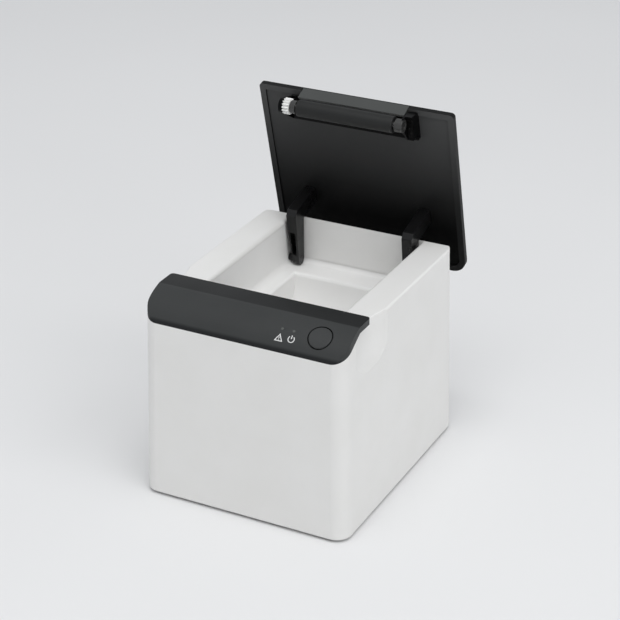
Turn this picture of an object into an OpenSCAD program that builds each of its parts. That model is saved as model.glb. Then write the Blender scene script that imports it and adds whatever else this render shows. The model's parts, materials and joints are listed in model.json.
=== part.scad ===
// Desk-top receipt printer with its lid standing open.
// Its platen rides on the lid and drops into the drive when the lid shuts.
// X runs to the right, Y to the back, Z up. The feet stand on z = 0.

/* [Case] */
// Width of the case at its rim
body_w = 110; // [108:0.5:118]
// Depth of the case at its rim
body_d = 131; // [129:0.5:139]
// Height of the case from its bottom edge to its rim
body_h = 105.7; // [104:0.1:112]
// How much farther each side stands out at the bottom than at the rim
base_flare = 2.25; // [0:0.25:4]
// Radius of the upright corners
corner_r = 8; // [6:0.5:11]
// Wall of the case
wall = 2.6; // [2.4:0.1:3]
// Thickness of the base plate
base_t = 2.5; // [2.2:0.1:3.5]
// How far the feet stand out below the case
foot_proud = 1.5; // [1:0.1:3]
// Radius of a foot
foot_r = 5; // [4:0.5:6]
// Length along the rim of the finger scoop in each side
scoop_len = 34; // [30:0.5:36]
// Depth of a finger scoop
scoop_depth = 3; // [2.4:0.1:3.2]
// How far a finger scoop reaches below the rim
scoop_h = 17; // [14:0.5:18]
// Radius of the rim's side edges
rim_round = 1.2; // [0.6:0.1:2]
// Radius of the rim's back edge, over which the lid swings
back_round = 3.4; // [3.2:0.1:4]

/* [Paper bay] */
// Width of the pocket between the side walls
bay_w = 76; // [76:0.5:80]
// Radius of the pocket's upper side edges
bay_round = 2; // [1:0.1:2.2]
// Width of the paper trough
trough_w = 59; // [58.5:0.5:59.5]
// Radius of the trough
cradle_r = 32; // [28:0.5:33]
// Depth of the ledges below the rim
ledge_drop = 26.7; // [26.7:0.1:28]
// Depth of the back ledge, from the back wall to the trough
back_ledge = 14; // [12:0.5:17]
// Wall of the paper bucket
bucket_wall = 2; // [1.8:0.1:2.4]

/* [Front panel] */
// Distance from the front of the rim to the panel's back edge
panel_depth = 29.3; // [28.5:0.1:30]
// Length of the panel's level top strip
strip_len = 11.8; // [10.5:0.1:13]
// Height of the panel from its lower edge to its top
panel_drop = 13.3; // [12.5:0.1:14]
// Thickness of the panel
panel_t = 1.6; // [1.4:0.1:1.8]
// Height of the panel's end walls and back wall
skirt_h = 3.2; // [2.8:0.1:3.6]
// Radius of the panel's back corners
panel_back_r = 2; // [1:0.5:3]
// How far the crown of the sloping face lies behind the front
crown_in = 4.6; // [4:0.1:5.2]
// How far the crown lies below the top strip
crown_drop = 3.4; // [2.8:0.1:4]
// Radius of the feed button
button_r = 6.1; // [5.8:0.1:6.8]
// Distance of the button from the middle
button_x = 39; // [36:0.5:40]
// How far the button stands out of the panel
button_proud = 0.3; // [0.2:0.1:0.6]
// Travel of the button
button_travel = 0.8; // [0.4:0.1:0.9]
// Radius of an indicator light
light_r = 0.7; // [0.6:0.1:1.2]
// Distance of the first light from the middle
light_x = 19; // [17:0.5:20]
// Distance between the lights
light_pitch = 6.2; // [5:0.1:7]

/* [Lid] */
// Thickness of the lid
lid_t = 2.8; // [2.7:0.1:3.4]
// Gap between the shut lid and the rim
lid_gap = 0.5; // [0.45:0.05:0.7]
// Angle through which the lid opens
open_angle = 75.2; // [70:0.1:76]
// Width of the paper slot between the panel and the lid
slot_w = 0.9; // [0.8:0.05:1.2]
// Width of the border round the lid's liner
lid_border = 3.3; // [3:0.1:4]
// Thickness of the lid's liner
liner_t = 1.2; // [1.1:0.1:1.3]
// How far the liner lies inside the lid's border
liner_recess = 0.7; // [0.6:0.1:0.8]
// Radius of the lid's front corners
lid_front_r = 2; // [1:0.5:3]
// Distance of the hinge pivot from the back of the rim
pivot_inset = 7; // [7:0.1:8]
// Depth of the hinge pivot below the rim
pivot_drop = 23.1; // [22.5:0.1:23.1]
// Radius of a hinge pin
pin_r = 2; // [1.6:0.1:2.2]
// Radius of an arm's boss
boss_r = 3.2; // [3:0.1:3.4]
// Width of an arm
arm_w = 5.8; // [5:0.1:5.8]
// Thickness of an arm's upright leg
leg_t = 8.3; // [6:0.1:9]
// Distance from the pivot to the upright leg
leg_reach = 22.2; // [22:0.1:24]

/* [Print mechanism] */
// Radius of the platen's rubber
roller_r = 4.4; // [4.2:0.1:4.6]
// Length of the platen's rubber
roller_len = 54; // [52:0.5:55]
// Radius of the platen's shaft
shaft_r = 2; // [1.6:0.1:2.2]
// Distance of the platen behind the lid's front edge
platen_setback = 3.8; // [3.6:0.1:4.2]
// Depth of the platen below the lid's outer face
platen_drop = 13; // [12.8:0.1:13.5]
// Tooth module of the gears
tooth_module = 0.5; // [0.48:0.01:0.52]
// Teeth of the platen gear
platen_teeth = 15; // [15:1:18]
// Teeth of the reduction gear's small end
small_teeth = 14; // [14:1:15]
// Teeth of the reduction gear's wheel
wheel_teeth = 34; // [32:1:36]
// Teeth of the motor pinion
pinion_teeth = 16; // [16:1:17]
// Width of the platen gear
gear_w = 3.6; // [3:0.1:3.8]
// Radius of the stepper motor
motor_r = 10; // [9:0.5:10.5]
// Length of the stepper motor
motor_len = 15; // [12:0.5:18]
// Thickness of the print frame's side plates
plate_t = 2.6; // [2.2:0.1:2.8]
// Free length of the springs behind the print head
spring_len = 4.7; // [4.2:0.1:5]

/* [Electronics] */
// Width of the main board
board_w = 70; // [66:0.5:73]
// Thickness of the boards
board_t = 1.6; // [1:0.1:2]
// Height of the main board above the base plate
standoff_h = 6; // [5:0.5:8]
// Width of the data socket
usb_w = 12; // [11.5:0.1:12.5]
// Width of the cash drawer's socket
drawer_w = 13.2; // [12.5:0.1:13.6]
// Width of the power socket
power_w = 11; // [10:0.1:11.5]
// Height of the sockets above the board
socket_h = 11; // [11:0.1:12]

/* [Hidden] */
$fn = 48;

// Clearances shared by the pieces that fit together
far = 400;
run_gap = 0.05;
thread_gap = 0.03;
fit_gap = 0.2;
open_gap = 0.3;
side_gap = 0.6;
skin = 0.01;

// Heights and outer faces of the case
rim_z = foot_proud + body_h;
floor_z = foot_proud + base_t;
deck_low_z = rim_z - wall;
lid_low_z = rim_z + lid_gap;
lid_top_z = lid_low_z + lid_t;
function half_w(z) = body_w / 2 + base_flare * (rim_z - z) / body_h;
function half_d(z) = body_d / 2 + base_flare * (rim_z - z) / body_h;
back_in_y = body_d / 2 - wall;

// Front panel's profile: its outer face, and the bed in the case on which it lies
panel_back_y = -body_d / 2 + panel_depth;
panel_low_z = lid_top_z - panel_drop;
strip_fall = 0.1;
strip_end = [panel_back_y - strip_len, lid_top_z - strip_fall];
panel_foot = [-half_d(panel_low_z), panel_low_z];
crown = [panel_foot[0] + crown_in, strip_end[1] - crown_drop];
face_steps = 12;
function face_point(t) = pow(1 - t, 2) * strip_end + 2 * t * (1 - t) * crown + t * t * panel_foot;
function face_slope(t) = (1 - t) * (crown - strip_end) + t * (panel_foot - crown);
face_curve = [for (i = [0 : face_steps]) face_point(i / face_steps)];
face_tail = panel_foot + 2 * face_slope(1);
panel_line = concat([[far, lid_top_z], [panel_back_y, lid_top_z]], face_curve, [face_tail]);
bed_z = lid_top_z - skirt_h;
bed_bend = [strip_end[0], bed_z];
bed_tail = 2 * panel_foot - bed_bend;
panel_profile = concat([[panel_back_y, lid_top_z]], face_curve, [bed_bend, [panel_back_y, bed_z]]);

// Top of the case, from the back to the panel's bed
round_step = 15;
back_low_z = rim_z - back_round;
back_curve = [
    for (a = [0 : round_step : 90])
        [half_d(back_low_z) - back_round * (1 - cos(a)), back_low_z + back_round * sin(a)]
];
bed_line = [[panel_back_y, rim_z], [panel_back_y, bed_z], bed_bend, panel_foot, bed_tail];
case_line = concat([[far, 0]], back_curve, bed_line);

// Moves an open line towards its inner side by t
function inner_normal(p, q) = [p[1] - q[1], q[0] - p[0]] / norm(q - p);
function inset_line(line, t) = [
    for (i = [0 : len(line) - 1])
        let (before = inner_normal(line[max(i - 1, 0)], line[max(i, 1)]))
        let (after = i < len(line) - 1 ? inner_normal(line[i], line[i + 1]) : before)
        line[i] + t * (before + after) / (1 + before * after)
];

// Hinge, lid and platen with the lid shut
pivot = [body_d / 2 - pivot_inset, rim_z - pivot_drop];
lid_back_y = body_d / 2;
lid_front_y = panel_back_y + slot_w;
platen = [lid_front_y + platen_setback, lid_top_z - platen_drop];
ledge_z = rim_z - ledge_drop;
cradle_rise = 1.5;
cradle = [back_in_y - back_ledge - cradle_r, ledge_z + cradle_rise];
function turned(p, angle) =
    let (d = p - pivot)
    pivot + [d[0] * cos(angle) - d[1] * sin(angle), d[0] * sin(angle) + d[1] * cos(angle)];

// The frame's origin lies under the middle of the whole object, open lid included
open_back_y = turned([lid_back_y, lid_top_z], -open_angle)[0];
middle_y = (open_back_y - half_d(foot_proud)) / 2;

// Stations along the platen, from the middle outwards
plate_in = roller_len / 2 + 1.2;
plate_out = plate_in + plate_t;
gear_in = plate_out + side_gap;
gear_out = gear_in + gear_w;
ear_t = 1.5;
ear_in = gear_out + side_gap;
ear_out = ear_in + ear_t;
saddle_t = 0.9;
right_ear_t = 4.3;
right_ear_in = plate_out + fit_gap + open_gap;
right_ear_out = right_ear_in + right_ear_t;
wheel_w = 2.4;
wheel_gap = 0.8;
wheel_in = max(ear_out + 1, bay_w / 2 + bucket_wall + wheel_gap);
wheel_out = wheel_in + wheel_w;
bush_r = 3.5;
hub_r = 2.8;
axle_r = 1.25;
motor_shaft_r = 1;

// Gear axes with the lid shut: the reducer lies on the line along which the platen lifts off
swing = platen - pivot;
lift = [swing[1], -swing[0]] / norm(swing);
reducer = platen - lift * (platen_teeth + small_teeth) * tooth_module / 2;
motor_dir = -95;
motor = reducer + (wheel_teeth + pinion_teeth) * tooth_module / 2 * [cos(motor_dir), sin(motor_dir)];
lift_angle = atan2(lift[1], lift[0]);

// Print frame and head, from the platen towards the front
nip_gap = 0.35;
ceramic_t = 1;
heatsink_t = 3;
frame_wall = 2;
head_face_y = platen[0] - roller_r - nip_gap;
sink_back_y = head_face_y - ceramic_t;
sink_front_y = sink_back_y - heatsink_t;
frame_wall_y = sink_front_y - spring_len;
frame_front_y = frame_wall_y - frame_wall;
frame_back_y = platen[0] + 10.5;
frame_top_z = platen[1] + 3.5;
frame_floor_t = 2.5;
frame_floor_z = motor[1] - motor_r - 2;
shelf_t = 2.5;
shelf_z = frame_floor_z - frame_floor_t;
head_pin_r = 1.25;
head_knuckle_r = 2.3;
head_pin_at = [sink_front_y + heatsink_t / 2, platen[1] - 8.3];
head_top_z = platen[1] + 6;
head_half = plate_in - 0.8;
spring_x = 14;
spring_r = 2;

// Main board and what stands on it
board_low_z = floor_z + standoff_h;
board_top_z = board_low_z + board_t;
board_back_y = back_in_y - 1;
board_front_y = -half_d(board_low_z) + wall + 7;
ribbon_t = 0.3;
ribbon_w = 10;
head_ribbon_x = 3;
head_ribbon_y = head_pin_at[0] - head_knuckle_r - 0.6;
screw_r = 1.25;
screw_head_r = 2.4;
screw_head_t = 1.3;
head_root = 0.3;
drive_w = 0.6;
drive_len = 2.6;
drive_depth = 0.8;
flat_head_t = 1;

// Outer face of the sockets and of the switch in the back wall
socket_face_y = half_d(board_top_z + socket_h) - 0.3;
socket_gap = 0.3;
usb_x = -24;
drawer_x = -6.5;
power_x = 9.5;
switch_x = 26;
rocker_w = 12;
rocker_h = 18;
rocker_z = board_top_z + 4 + rocker_h / 2;
rocker_gap = 0.4;
rocker_tilt = 10;

// Layout of the base: the screw posts stand midway between the paper bucket and the case
base_screw_inset = 28;
foot_inset = 11;
base_screw_at = [(bay_w / 2 + bucket_wall + body_w / 2 - wall) / 2, body_d / 2 - base_screw_inset];
foot_at = [body_w / 2 - foot_inset, body_d / 2 - foot_inset];
post_r = 4;
post_h = 16;

// Solids drawn from a profile in the Y-Z plane, between two stations along X
module across(x0, x1) translate([x0, 0, 0]) rotate([90, 0, 90]) linear_extrude(x1 - x0) children();
module rod(x0, x1, r, at) translate([x0, at[0], at[1]]) rotate([0, 90, 0]) cylinder(r = r, h = x1 - x0);
module both_sides() for (side = [0, 1]) mirror([side, 0, 0]) children();
module corners(at) {
    for (x = [0, 1], y = [0, 1]) mirror([x, 0, 0]) mirror([0, y, 0]) translate([at[0], at[1], 0]) children();
}
module block(x0, x1, y0, y1, z0, z1) translate([x0, y0, z0]) cube([x1 - x0, y1 - y0, z1 - z0]);

// Places the whole model in its frame, and swings the lid's pieces open
module placed() translate([0, -middle_y, 0]) children();
module opened() {
    translate([0, pivot[0], pivot[1]])
        rotate([-open_angle, 0, 0])
            translate([0, -pivot[0], -pivot[1]]) children();
}

// Drafted body, t inside the outer faces
module drafted(t, z0, z1) {
    hull() for (z = [z0, z1 - skin]) translate([0, 0, z]) linear_extrude(skin)
        rounded(half_w(z) - t, half_d(z) - t, max(corner_r - t, 1));
}
module rounded(x, y, r) {
    for (sx = [-1, 1], sy = [-1, 1]) translate([sx * (x - r), sy * (y - r)]) circle(r = r, $fn = 40);
    square([2 * x - 2 * r, 2 * y], center = true);
    square([2 * x, 2 * y - 2 * r], center = true);
}
module under(line) across(-far, far) polygon(concat(line, [[-far, -far], [far, -far]]));
draft_top_z = lid_top_z + 2;
module case_block(t, z0) intersection() {
    drafted(t, z0, draft_top_z);
    under(inset_line(case_line, t));
}

// The panel as a full block on its bed, and the room under it, t inside its outer faces
module panel_block() intersection() {
    drafted(0, foot_proud, draft_top_z);
    across(-far, far) polygon(panel_profile);
}
module panel_room(t) intersection() {
    drafted(t, foot_proud, draft_top_z);
    under(inset_line(panel_line, t));
    block(-window_half, window_half, -far, panel_back_y - t, 0, far);
}

// What is cut away to round the panel's back corners, down to the deck
module back_corner_cut() both_sides() difference() {
    x = half_w(rim_z) - panel_back_r;
    y = panel_back_y - panel_back_r;
    block(x, far, y, panel_back_y + skin, rim_z, far);
    translate([x, y, 0]) cylinder(r = panel_back_r, h = far);
}

// Rounds the rim along both sides
rim_in_x = half_w(rim_z - rim_round) - rim_round;
rim_curve = [
    for (a = [0 : round_step : 90]) [rim_in_x + rim_round * cos(a), rim_z - rim_round * (1 - sin(a))]
];
module rim_shape() both_sides() rotate([90, 0, 0]) translate([0, 0, -far]) linear_extrude(2 * far) {
    foot = [[-skin, 0], [far, 0], [far, rim_curve[0][1]]];
    polygon(concat(foot, rim_curve, [[rim_in_x, far], [-skin, far]]));
}

// What is cut away to round the pocket's upper side edges
module bay_edge_cut() both_sides() difference() {
    edge_x = bay_w / 2 + bay_round;
    edge_z = rim_z - bay_round;
    block(bay_w / 2 - skin, edge_x, panel_back_y, back_in_y, edge_z, far);
    translate([edge_x, far, edge_z]) rotate([90, 0, 0]) cylinder(r = bay_round, h = 2 * far);
}

// Upright finger scoops in both sides, with a ramp at the lower end, drawn t larger
scoop_r = (scoop_len * scoop_len / 4 + scoop_depth * scoop_depth) / (2 * scoop_depth);
scoop_shift = 1.2;
scoop_ramp = 7;
scoop_at = [half_w(rim_z) + scoop_r - scoop_depth, panel_back_y + scoop_shift];
module finger_scoop(t) both_sides() translate([scoop_at[0], scoop_at[1], rim_z - scoop_h - t / 2]) {
    cylinder(r = scoop_r + t, h = far, $fn = 180);
    translate([0, 0, -scoop_ramp]) {
        cylinder(r1 = scoop_r + t - scoop_depth, r2 = scoop_r + t, h = scoop_ramp + skin, $fn = 180);
    }
}

// Frame of the button: its middle on the panel's face, with the outward normal along local Z
button_t = 0.45;
button_at = face_point(button_t);
button_tilt = atan2(-face_slope(button_t)[1], -face_slope(button_t)[0]);
module on_panel(x) translate([x, button_at[0], button_at[1]]) rotate([button_tilt, 0, 0]) children();

// Depths below the panel's face along that normal
flange_z = -3.4;
flange_t = 1;
flange_r = button_r + 0.9;
stem_z = -5;
press_room = 0.2;
switch_top_z = stem_z - button_travel - press_room;
switch_h = 3.4;
switch_half = 3;
switch_base_z = switch_top_z - switch_h;
plunger_r = 1.6;
plunger_len = 3;
stem_wall = 0.6;
panel_board_y0 = -6;
panel_board_y1 = 4;
panel_board_tail = 17;
panel_board_end = 8;
panel_board_x0 = light_x - panel_board_tail;
panel_board_x1 = button_x + panel_board_end;
panel_post_r = 2.6;
panel_post_x = [light_x - 2.8, button_x - flange_r - panel_post_r - open_gap];
panel_post_y = -3.4;
panel_post_grip = 3.4;
panel_cut = 4;
panel_ribbon_x = panel_board_x0 + 1.5;

// Involute gear wheel whose first tooth points along local X, turned by phase
pressure = 20;
backlash = 0.05;
function involute(base, r) = let (a = acos(min(base / r, 1))) tan(a) * 180 / PI - a;
function tooth_side(teeth, side) =
    let (pitch_r = teeth * tooth_module / 2)
    let (base = pitch_r * cos(pressure))
    let (root = pitch_r - 1.25 * tooth_module)
    let (tip = pitch_r + tooth_module)
    let (start = max(base, root))
    let (half = 90 / teeth - backlash / pitch_r * 90 / PI + involute(base, pitch_r))
    let (flank = [for (i = [0 : 4]) let (r = start + (tip - start) * i / 4) [r, half - involute(base, r)]])
    let (line = concat([[root, half]], flank))
    side < 0 ? [for (p = line) [p[0], -p[1]]] : [for (i = [len(line) - 1 : -1 : 0]) line[i]];
module gear_shape(teeth, phase) {
    rotate(phase) polygon([
        for (i = [0 : teeth - 1], p = concat(tooth_side(teeth, -1), tooth_side(teeth, 1)))
            p[0] * [cos(p[1] + 360 * i / teeth), sin(p[1] + 360 * i / teeth)]
    ]);
}
module gear(x0, x1, at, teeth, phase) translate([0, at[0], at[1]]) across(x0, x1) gear_shape(teeth, phase);

// Case

window_half = panel_board_x1 + 1.5;
window_front_y = -body_d / 2 + 4;
window_drop = 6;
flange_room = 6;
module upper_case() color("whitesmoke") difference() {
    union() {
        difference() {
            intersection() {
                case_block(0, foot_proud);
                rim_shape();
            }
            difference() {
                case_block(wall, foot_proud - 1);
                finger_scoop(wall);
            }
        }
        corners(base_screw_at) case_post();
    }
    back_corner_cut();
    finger_scoop(0);
    bay_edge_cut();
    block(-bay_w / 2, bay_w / 2, panel_back_y - wall - skin, back_in_y, deck_low_z - 1, far);
    block(-window_half, window_half, window_front_y, panel_back_y - wall, panel_low_z - window_drop, far);
    on_panel(button_x) translate([0, 0, flange_z - flange_room]) {
        cylinder(r = flange_r + 1, h = flange_room - flange_z);
    }
    corners(base_screw_at) translate([0, 0, floor_z - skin]) {
        cylinder(r = screw_r + thread_gap, h = post_h - 2);
    }
    socket_hole(usb_x, usb_w);
    socket_hole(drawer_x, drawer_w);
    socket_hole(power_x, power_w);
    back_hole(switch_x, rocker_w, rocker_z - rocker_h / 2, rocker_z + rocker_h / 2);
}
module case_post() {
    translate([0, 0, floor_z]) cylinder(r = post_r, h = post_h);
    block(0, half_w(floor_z + post_h) - base_screw_at[0] - 1, -1, 1, floor_z, floor_z + post_h);
}
module socket_hole(x, w) back_hole(x, w, board_top_z, board_top_z + socket_h);
module back_hole(x, w, z0, z1) {
    half = w / 2 + socket_gap;
    block(x - half, x + half, back_in_y - 1, far, z0 - socket_gap, z1 + socket_gap);
}

foot_seat = 1;
module base_cover() color("gainsboro") difference() {
    union() {
        drafted(wall + fit_gap, foot_proud, floor_z);
        standoffs() cylinder(r = standoff_r, h = standoff_h);
    }
    standoffs() cylinder(r = screw_r + thread_gap, h = standoff_h + 1);
    corners(base_screw_at) translate([0, 0, foot_proud - 1]) {
        cylinder(r = screw_r + fit_gap, h = base_t + 2);
        cylinder(r = screw_head_r + fit_gap, h = 1 + screw_head_t);
    }
    corners(foot_at) translate([0, 0, foot_proud - 1]) cylinder(r = foot_r, h = 1 + foot_seat);
}
standoff_r = 3;
standoff_inset = 4;
socket_clear = 20;
module standoffs() both_sides() for (y = [board_front_y + standoff_inset, board_back_y - socket_clear]) {
    translate([board_w / 2 - standoff_inset, y, floor_z - skin]) children();
}

module rubber_feet() color("dimgray") corners(foot_at) cylinder(r = foot_r, h = foot_proud + foot_seat);

// Screw whose head seats at local z = 0 and whose shank points up
module drive_cross() {
    square([drive_len, drive_w], center = true);
    square([drive_w, drive_len], center = true);
}
module screw(length) {
    translate([0, 0, -head_root]) cylinder(r = screw_r, h = length + head_root);
    translate([0, 0, -screw_head_t]) difference() {
        cylinder(r = screw_head_r, h = screw_head_t);
        translate([0, 0, -1]) linear_extrude(1 + drive_depth) drive_cross();
    }
}

// Countersunk screw, grown by g, whose head ends flush at local z = 0 and whose shank points down
module flat_screw(length, g) {
    translate([0, 0, -length]) cylinder(r = screw_r + g, h = length);
    translate([0, 0, -flat_head_t - g]) {
        cylinder(r1 = screw_r + g, r2 = screw_head_r + g, h = flat_head_t + g);
    }
}
module base_screws() color("silver") {
    corners(base_screw_at) translate([0, 0, foot_proud + screw_head_t]) screw(base_t + post_h - 6);
}

// Paper bay

// The trough ends short of the print frame, whatever the roll's radius
trough_gap = 1;
trough_front_y = max(cradle[0] - cradle_r, frame_back_y + trough_gap + bucket_wall);
trough_lip_z = cradle[1] + 4;
shelf_front_y = frame_front_y - 3;
pocket_setback = 22;
pocket_front_y = panel_back_y + pocket_setback;
hub_clear = 2.5;
wall_front_y = reducer[0] + hub_r + hub_clear;
pin_boss = 2.2;
pin_end_x = bay_w / 2 + bucket_wall + 4;
module paper_bucket() color("white") difference() {
    union() {
        both_sides() side_wall();
        both_sides() block(
            trough_w / 2, bay_w / 2 + skin, pocket_front_y, back_in_y, ledge_z - bucket_wall, ledge_z
        );
        block(-bay_w / 2, bay_w / 2, cradle[0], back_in_y, ledge_z - bucket_wall, ledge_z);
        trough();
        block(-bay_w / 2 - skin, bay_w / 2 + skin, shelf_front_y, cradle[0], shelf_z - shelf_t, shelf_z);
        both_sides() rod(bay_w / 2, pin_end_x, pin_r + pin_boss, pivot);
    }
    rod(-pin_end_x - 1, pin_end_x + 1, pin_r + thread_gap, pivot);
    trough_space(0, trough_w / 2, far);
    ribbon_slot(shelf_z - shelf_t, shelf_z);
    frame_holes() cylinder(r = screw_r + thread_gap, h = 3 * shelf_t, center = true);
    block(
        -board_w / 2 - fit_gap, board_w / 2 + fit_gap, board_front_y - fit_gap, board_back_y + fit_gap,
        board_low_z - fit_gap, board_top_z + fit_gap
    );
    corners(base_screw_at) cylinder(r = post_r + fit_gap, h = floor_z + post_h + fit_gap);
}

// Side wall up to the underside of the deck, ending short of the reduction gear's hub
module side_wall() intersection() {
    across(bay_w / 2, bay_w / 2 + bucket_wall) polygon([
        [shelf_front_y, floor_z], [back_in_y, floor_z], [back_in_y, far], [wall_front_y, far],
        [wall_front_y, shelf_z], [shelf_front_y, shelf_z]
    ]);
    under(inset_line(case_line, wall));
}

// Room of the paper roll, grown by g, and the wall round its lower half
module trough_space(g, half, top_z) intersection() {
    union() {
        rod(-half, half, cradle_r + g, cradle);
        block(-half, half, cradle[0] - cradle_r - g, cradle[0] + cradle_r + g, cradle[1], top_z);
    }
    block(-half, half, trough_front_y - g, far, 0, far);
}
module trough() intersection() {
    trough_space(bucket_wall, trough_w / 2 + bucket_wall, trough_lip_z);
    across(-far, far) polygon([
        [-far, 0], [far, 0], [far, ledge_z], [trough_front_y, ledge_z], [trough_front_y, trough_lip_z],
        [-far, trough_lip_z]
    ]);
}
module ribbon_slot(z0, z1) {
    block(
        head_ribbon_x - 1, head_ribbon_x + ribbon_w + 1, head_ribbon_y - 1, head_ribbon_y + ribbon_t + 1,
        z0 - 1, z1 + 1
    );
}

// Front panel

module front_panel() color("dimgray") difference() {
    union() {
        difference() {
            panel_block();
            panel_room(panel_t);
        }
        for (x = panel_post_x) panel_post(x);
    }
    back_corner_cut();
    on_panel(button_x) translate([0, 0, -panel_cut]) cylinder(r = button_r + open_gap, h = 2 * panel_cut);
    for (x = lights_x) on_panel(x) translate([0, 0, -panel_cut]) {
        cylinder(r = light_r + run_gap, h = 2 * panel_cut);
    }
    for (x = panel_post_x) on_panel(x) translate([0, panel_post_y, switch_base_z - 1]) {
        cylinder(r = screw_r + thread_gap, h = panel_post_grip + 1.6);
    }
}
lights_x = [light_x, light_x + light_pitch];
module panel_post(x) intersection() {
    on_panel(x) translate([0, panel_post_y, switch_base_z]) cylinder(r = panel_post_r, h = 10);
    panel_room(panel_t / 2);
}

// The button's face follows the panel's curve
module feed_button() color("slategray") {
    intersection() {
        on_panel(button_x) translate([0, 0, flange_z - skin]) cylinder(r = button_r, h = 2 * button_r);
        under(inset_line(panel_line, -button_proud));
    }
    on_panel(button_x) {
        translate([0, 0, flange_z - flange_t]) cylinder(r = flange_r, h = flange_t);
        translate([0, 0, stem_z]) cylinder(r = plunger_r + stem_wall, h = flange_z - stem_z);
    }
}
module switch_plunger() color("black") on_panel(button_x) {
    translate([0, 0, stem_z - plunger_len]) cylinder(r = plunger_r, h = plunger_len);
}
module feed_switch() color("darkgray") on_panel(button_x) difference() {
    block(-switch_half, switch_half, -switch_half, switch_half, switch_base_z, switch_top_z);
    translate([0, 0, stem_z - plunger_len - button_travel - press_room]) {
        cylinder(r = plunger_r + run_gap, h = plunger_len);
    }
}
module panel_board() color("seagreen") difference() {
    on_panel(0) block(
        panel_board_x0, panel_board_x1, panel_board_y0, panel_board_y1, switch_base_z - board_t, switch_base_z
    );
    for (x = panel_post_x) on_panel(x) translate([0, panel_post_y, switch_base_z - 3]) {
        cylinder(r = screw_r + fit_gap, h = 4);
    }
}
module panel_screws() color("silver") for (x = panel_post_x) {
    on_panel(x) translate([0, panel_post_y, switch_base_z - board_t]) screw(board_t + panel_post_grip);
}
light_proud = 0.1;
module status_lights() color("lightyellow") for (x = lights_x) {
    on_panel(x) translate([0, 0, switch_base_z]) cylinder(r = light_r, h = light_proud - switch_base_z);
}

// Lid, drawn shut and swung open

arc_step = 7.5;
function corner_arc(x, y, r, from) = [
    for (a = [from : arc_step : from + 90]) [x + r * cos(a), y + r * sin(a)]
];
function lid_outline(g) =
    let (x = body_w / 2 - g)
    let (front = lid_front_y + g)
    let (back = lid_back_y - g)
    let (rf = max(lid_front_r - g, lid_least_r))
    let (rb = max(corner_r - g, lid_least_r))
    concat(
        corner_arc(x - rf, front + rf, rf, 270), corner_arc(x - rb, back - rb, rb, 0),
        corner_arc(rb - x, back - rb, rb, 90), corner_arc(rf - x, front + rf, rf, 180)
    );
lid_least_r = 0.6;
liner_low_z = lid_low_z + liner_recess;
liner_top_z = liner_low_z + liner_t;
lip_cap = 0.5;
lip_top_z = lid_top_z - lip_cap;
lip_half = roller_len / 2 + 3;
lip_back_y = lid_front_y + lid_border;
module lid_cover() color("dimgray") opened() difference() {
    translate([0, 0, lid_low_z]) linear_extrude(lid_t) polygon(lid_outline(0));
    translate([0, 0, lid_low_z - 1]) {
        linear_extrude(1 + liner_recess + liner_t) polygon(lid_outline(lid_border));
    }
    block(-lip_half - fit_gap, lip_half + fit_gap, lid_front_y - 1, lip_back_y, lid_low_z - 1, lip_top_z);
}
module lid_liner() color("black") opened() difference() {
    translate([0, 0, liner_low_z]) linear_extrude(liner_t) polygon(lid_outline(lid_border + fit_gap));
    lid_holes() translate([0, 0, liner_top_z]) {
        flat_screw(liner_t + 1, thread_gap);
        cylinder(r = screw_head_r + thread_gap, h = 1);
    }
}

// Grey lip let into the lid's front edge, clear of the roller behind it
lip_low_z = platen[1] + roller_r + 0.4;
lip_seat = fit_gap + 1.2;
module exit_lip() color("gray") opened() across(-lip_half, lip_half) polygon([
    [lid_front_y, lip_top_z], [lid_front_y + 1.8, lip_low_z], [lid_front_y + 3.2, lip_low_z + 0.5],
    [lip_back_y + lip_seat, liner_low_z], [lip_back_y, liner_low_z], [lip_back_y, lip_top_z]
]);

// Bar under the liner with an ear at each end of the platen: the left one lies beyond the gear
// and takes the shaft, the right one is a block with a saddle for the bush
bar_t = 3;
bar_d = 12;
bar_front_y = lip_back_y + lip_seat + open_gap;
bar_back_y = bar_front_y + bar_d;
module platen_bracket() color("black") opened() difference() {
    union() {
        block(-ear_out, right_ear_out, bar_front_y, bar_back_y, liner_low_z - bar_t, liner_low_z);
        platen_ear();
        saddle_ear();
    }
    rod(-ear_out - 1, 0, shaft_r + run_gap, platen);
    rod(0, right_ear_out + 1, bush_r + run_gap, platen);
    bracket_holes() lid_thread();
}
ear_r = shaft_r + 2;
module platen_ear() {
    rod(-ear_out, -ear_in, ear_r, platen);
    across(-ear_out, -ear_in) polygon([
        [platen[0] - ear_r, platen[1]], [platen[0] + 1, platen[1] - ear_r + 0.2],
        [bar_back_y, liner_low_z - bar_t], [bar_back_y, liner_low_z], [bar_front_y, liner_low_z]
    ]);
}
saddle_wall = 0.6;
block_h = 8.2;
block_front = 2.4;
block_back = 10;
module saddle_ear() {
    front_y = platen[0] - bush_r - saddle_wall;
    back_y = platen[0] + block_back;
    block_z = liner_low_z - block_h;
    step_y = lip_back_y + fit_gap;
    step_z = lid_low_z - fit_gap;
    across(right_ear_in, right_ear_out) polygon([
        [step_y, liner_low_z], [back_y, liner_low_z], [back_y, block_z], [front_y, block_z],
        [platen[0] - block_front, step_z], [step_y, step_z]
    ]);
    across(right_ear_in, right_ear_in + saddle_t) polygon([
        [front_y, block_z + skin], [front_y, platen[1]], [platen[0] + bush_r + saddle_wall, platen[1]],
        [back_y, block_z], [back_y, block_z + skin]
    ]);
}

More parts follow.
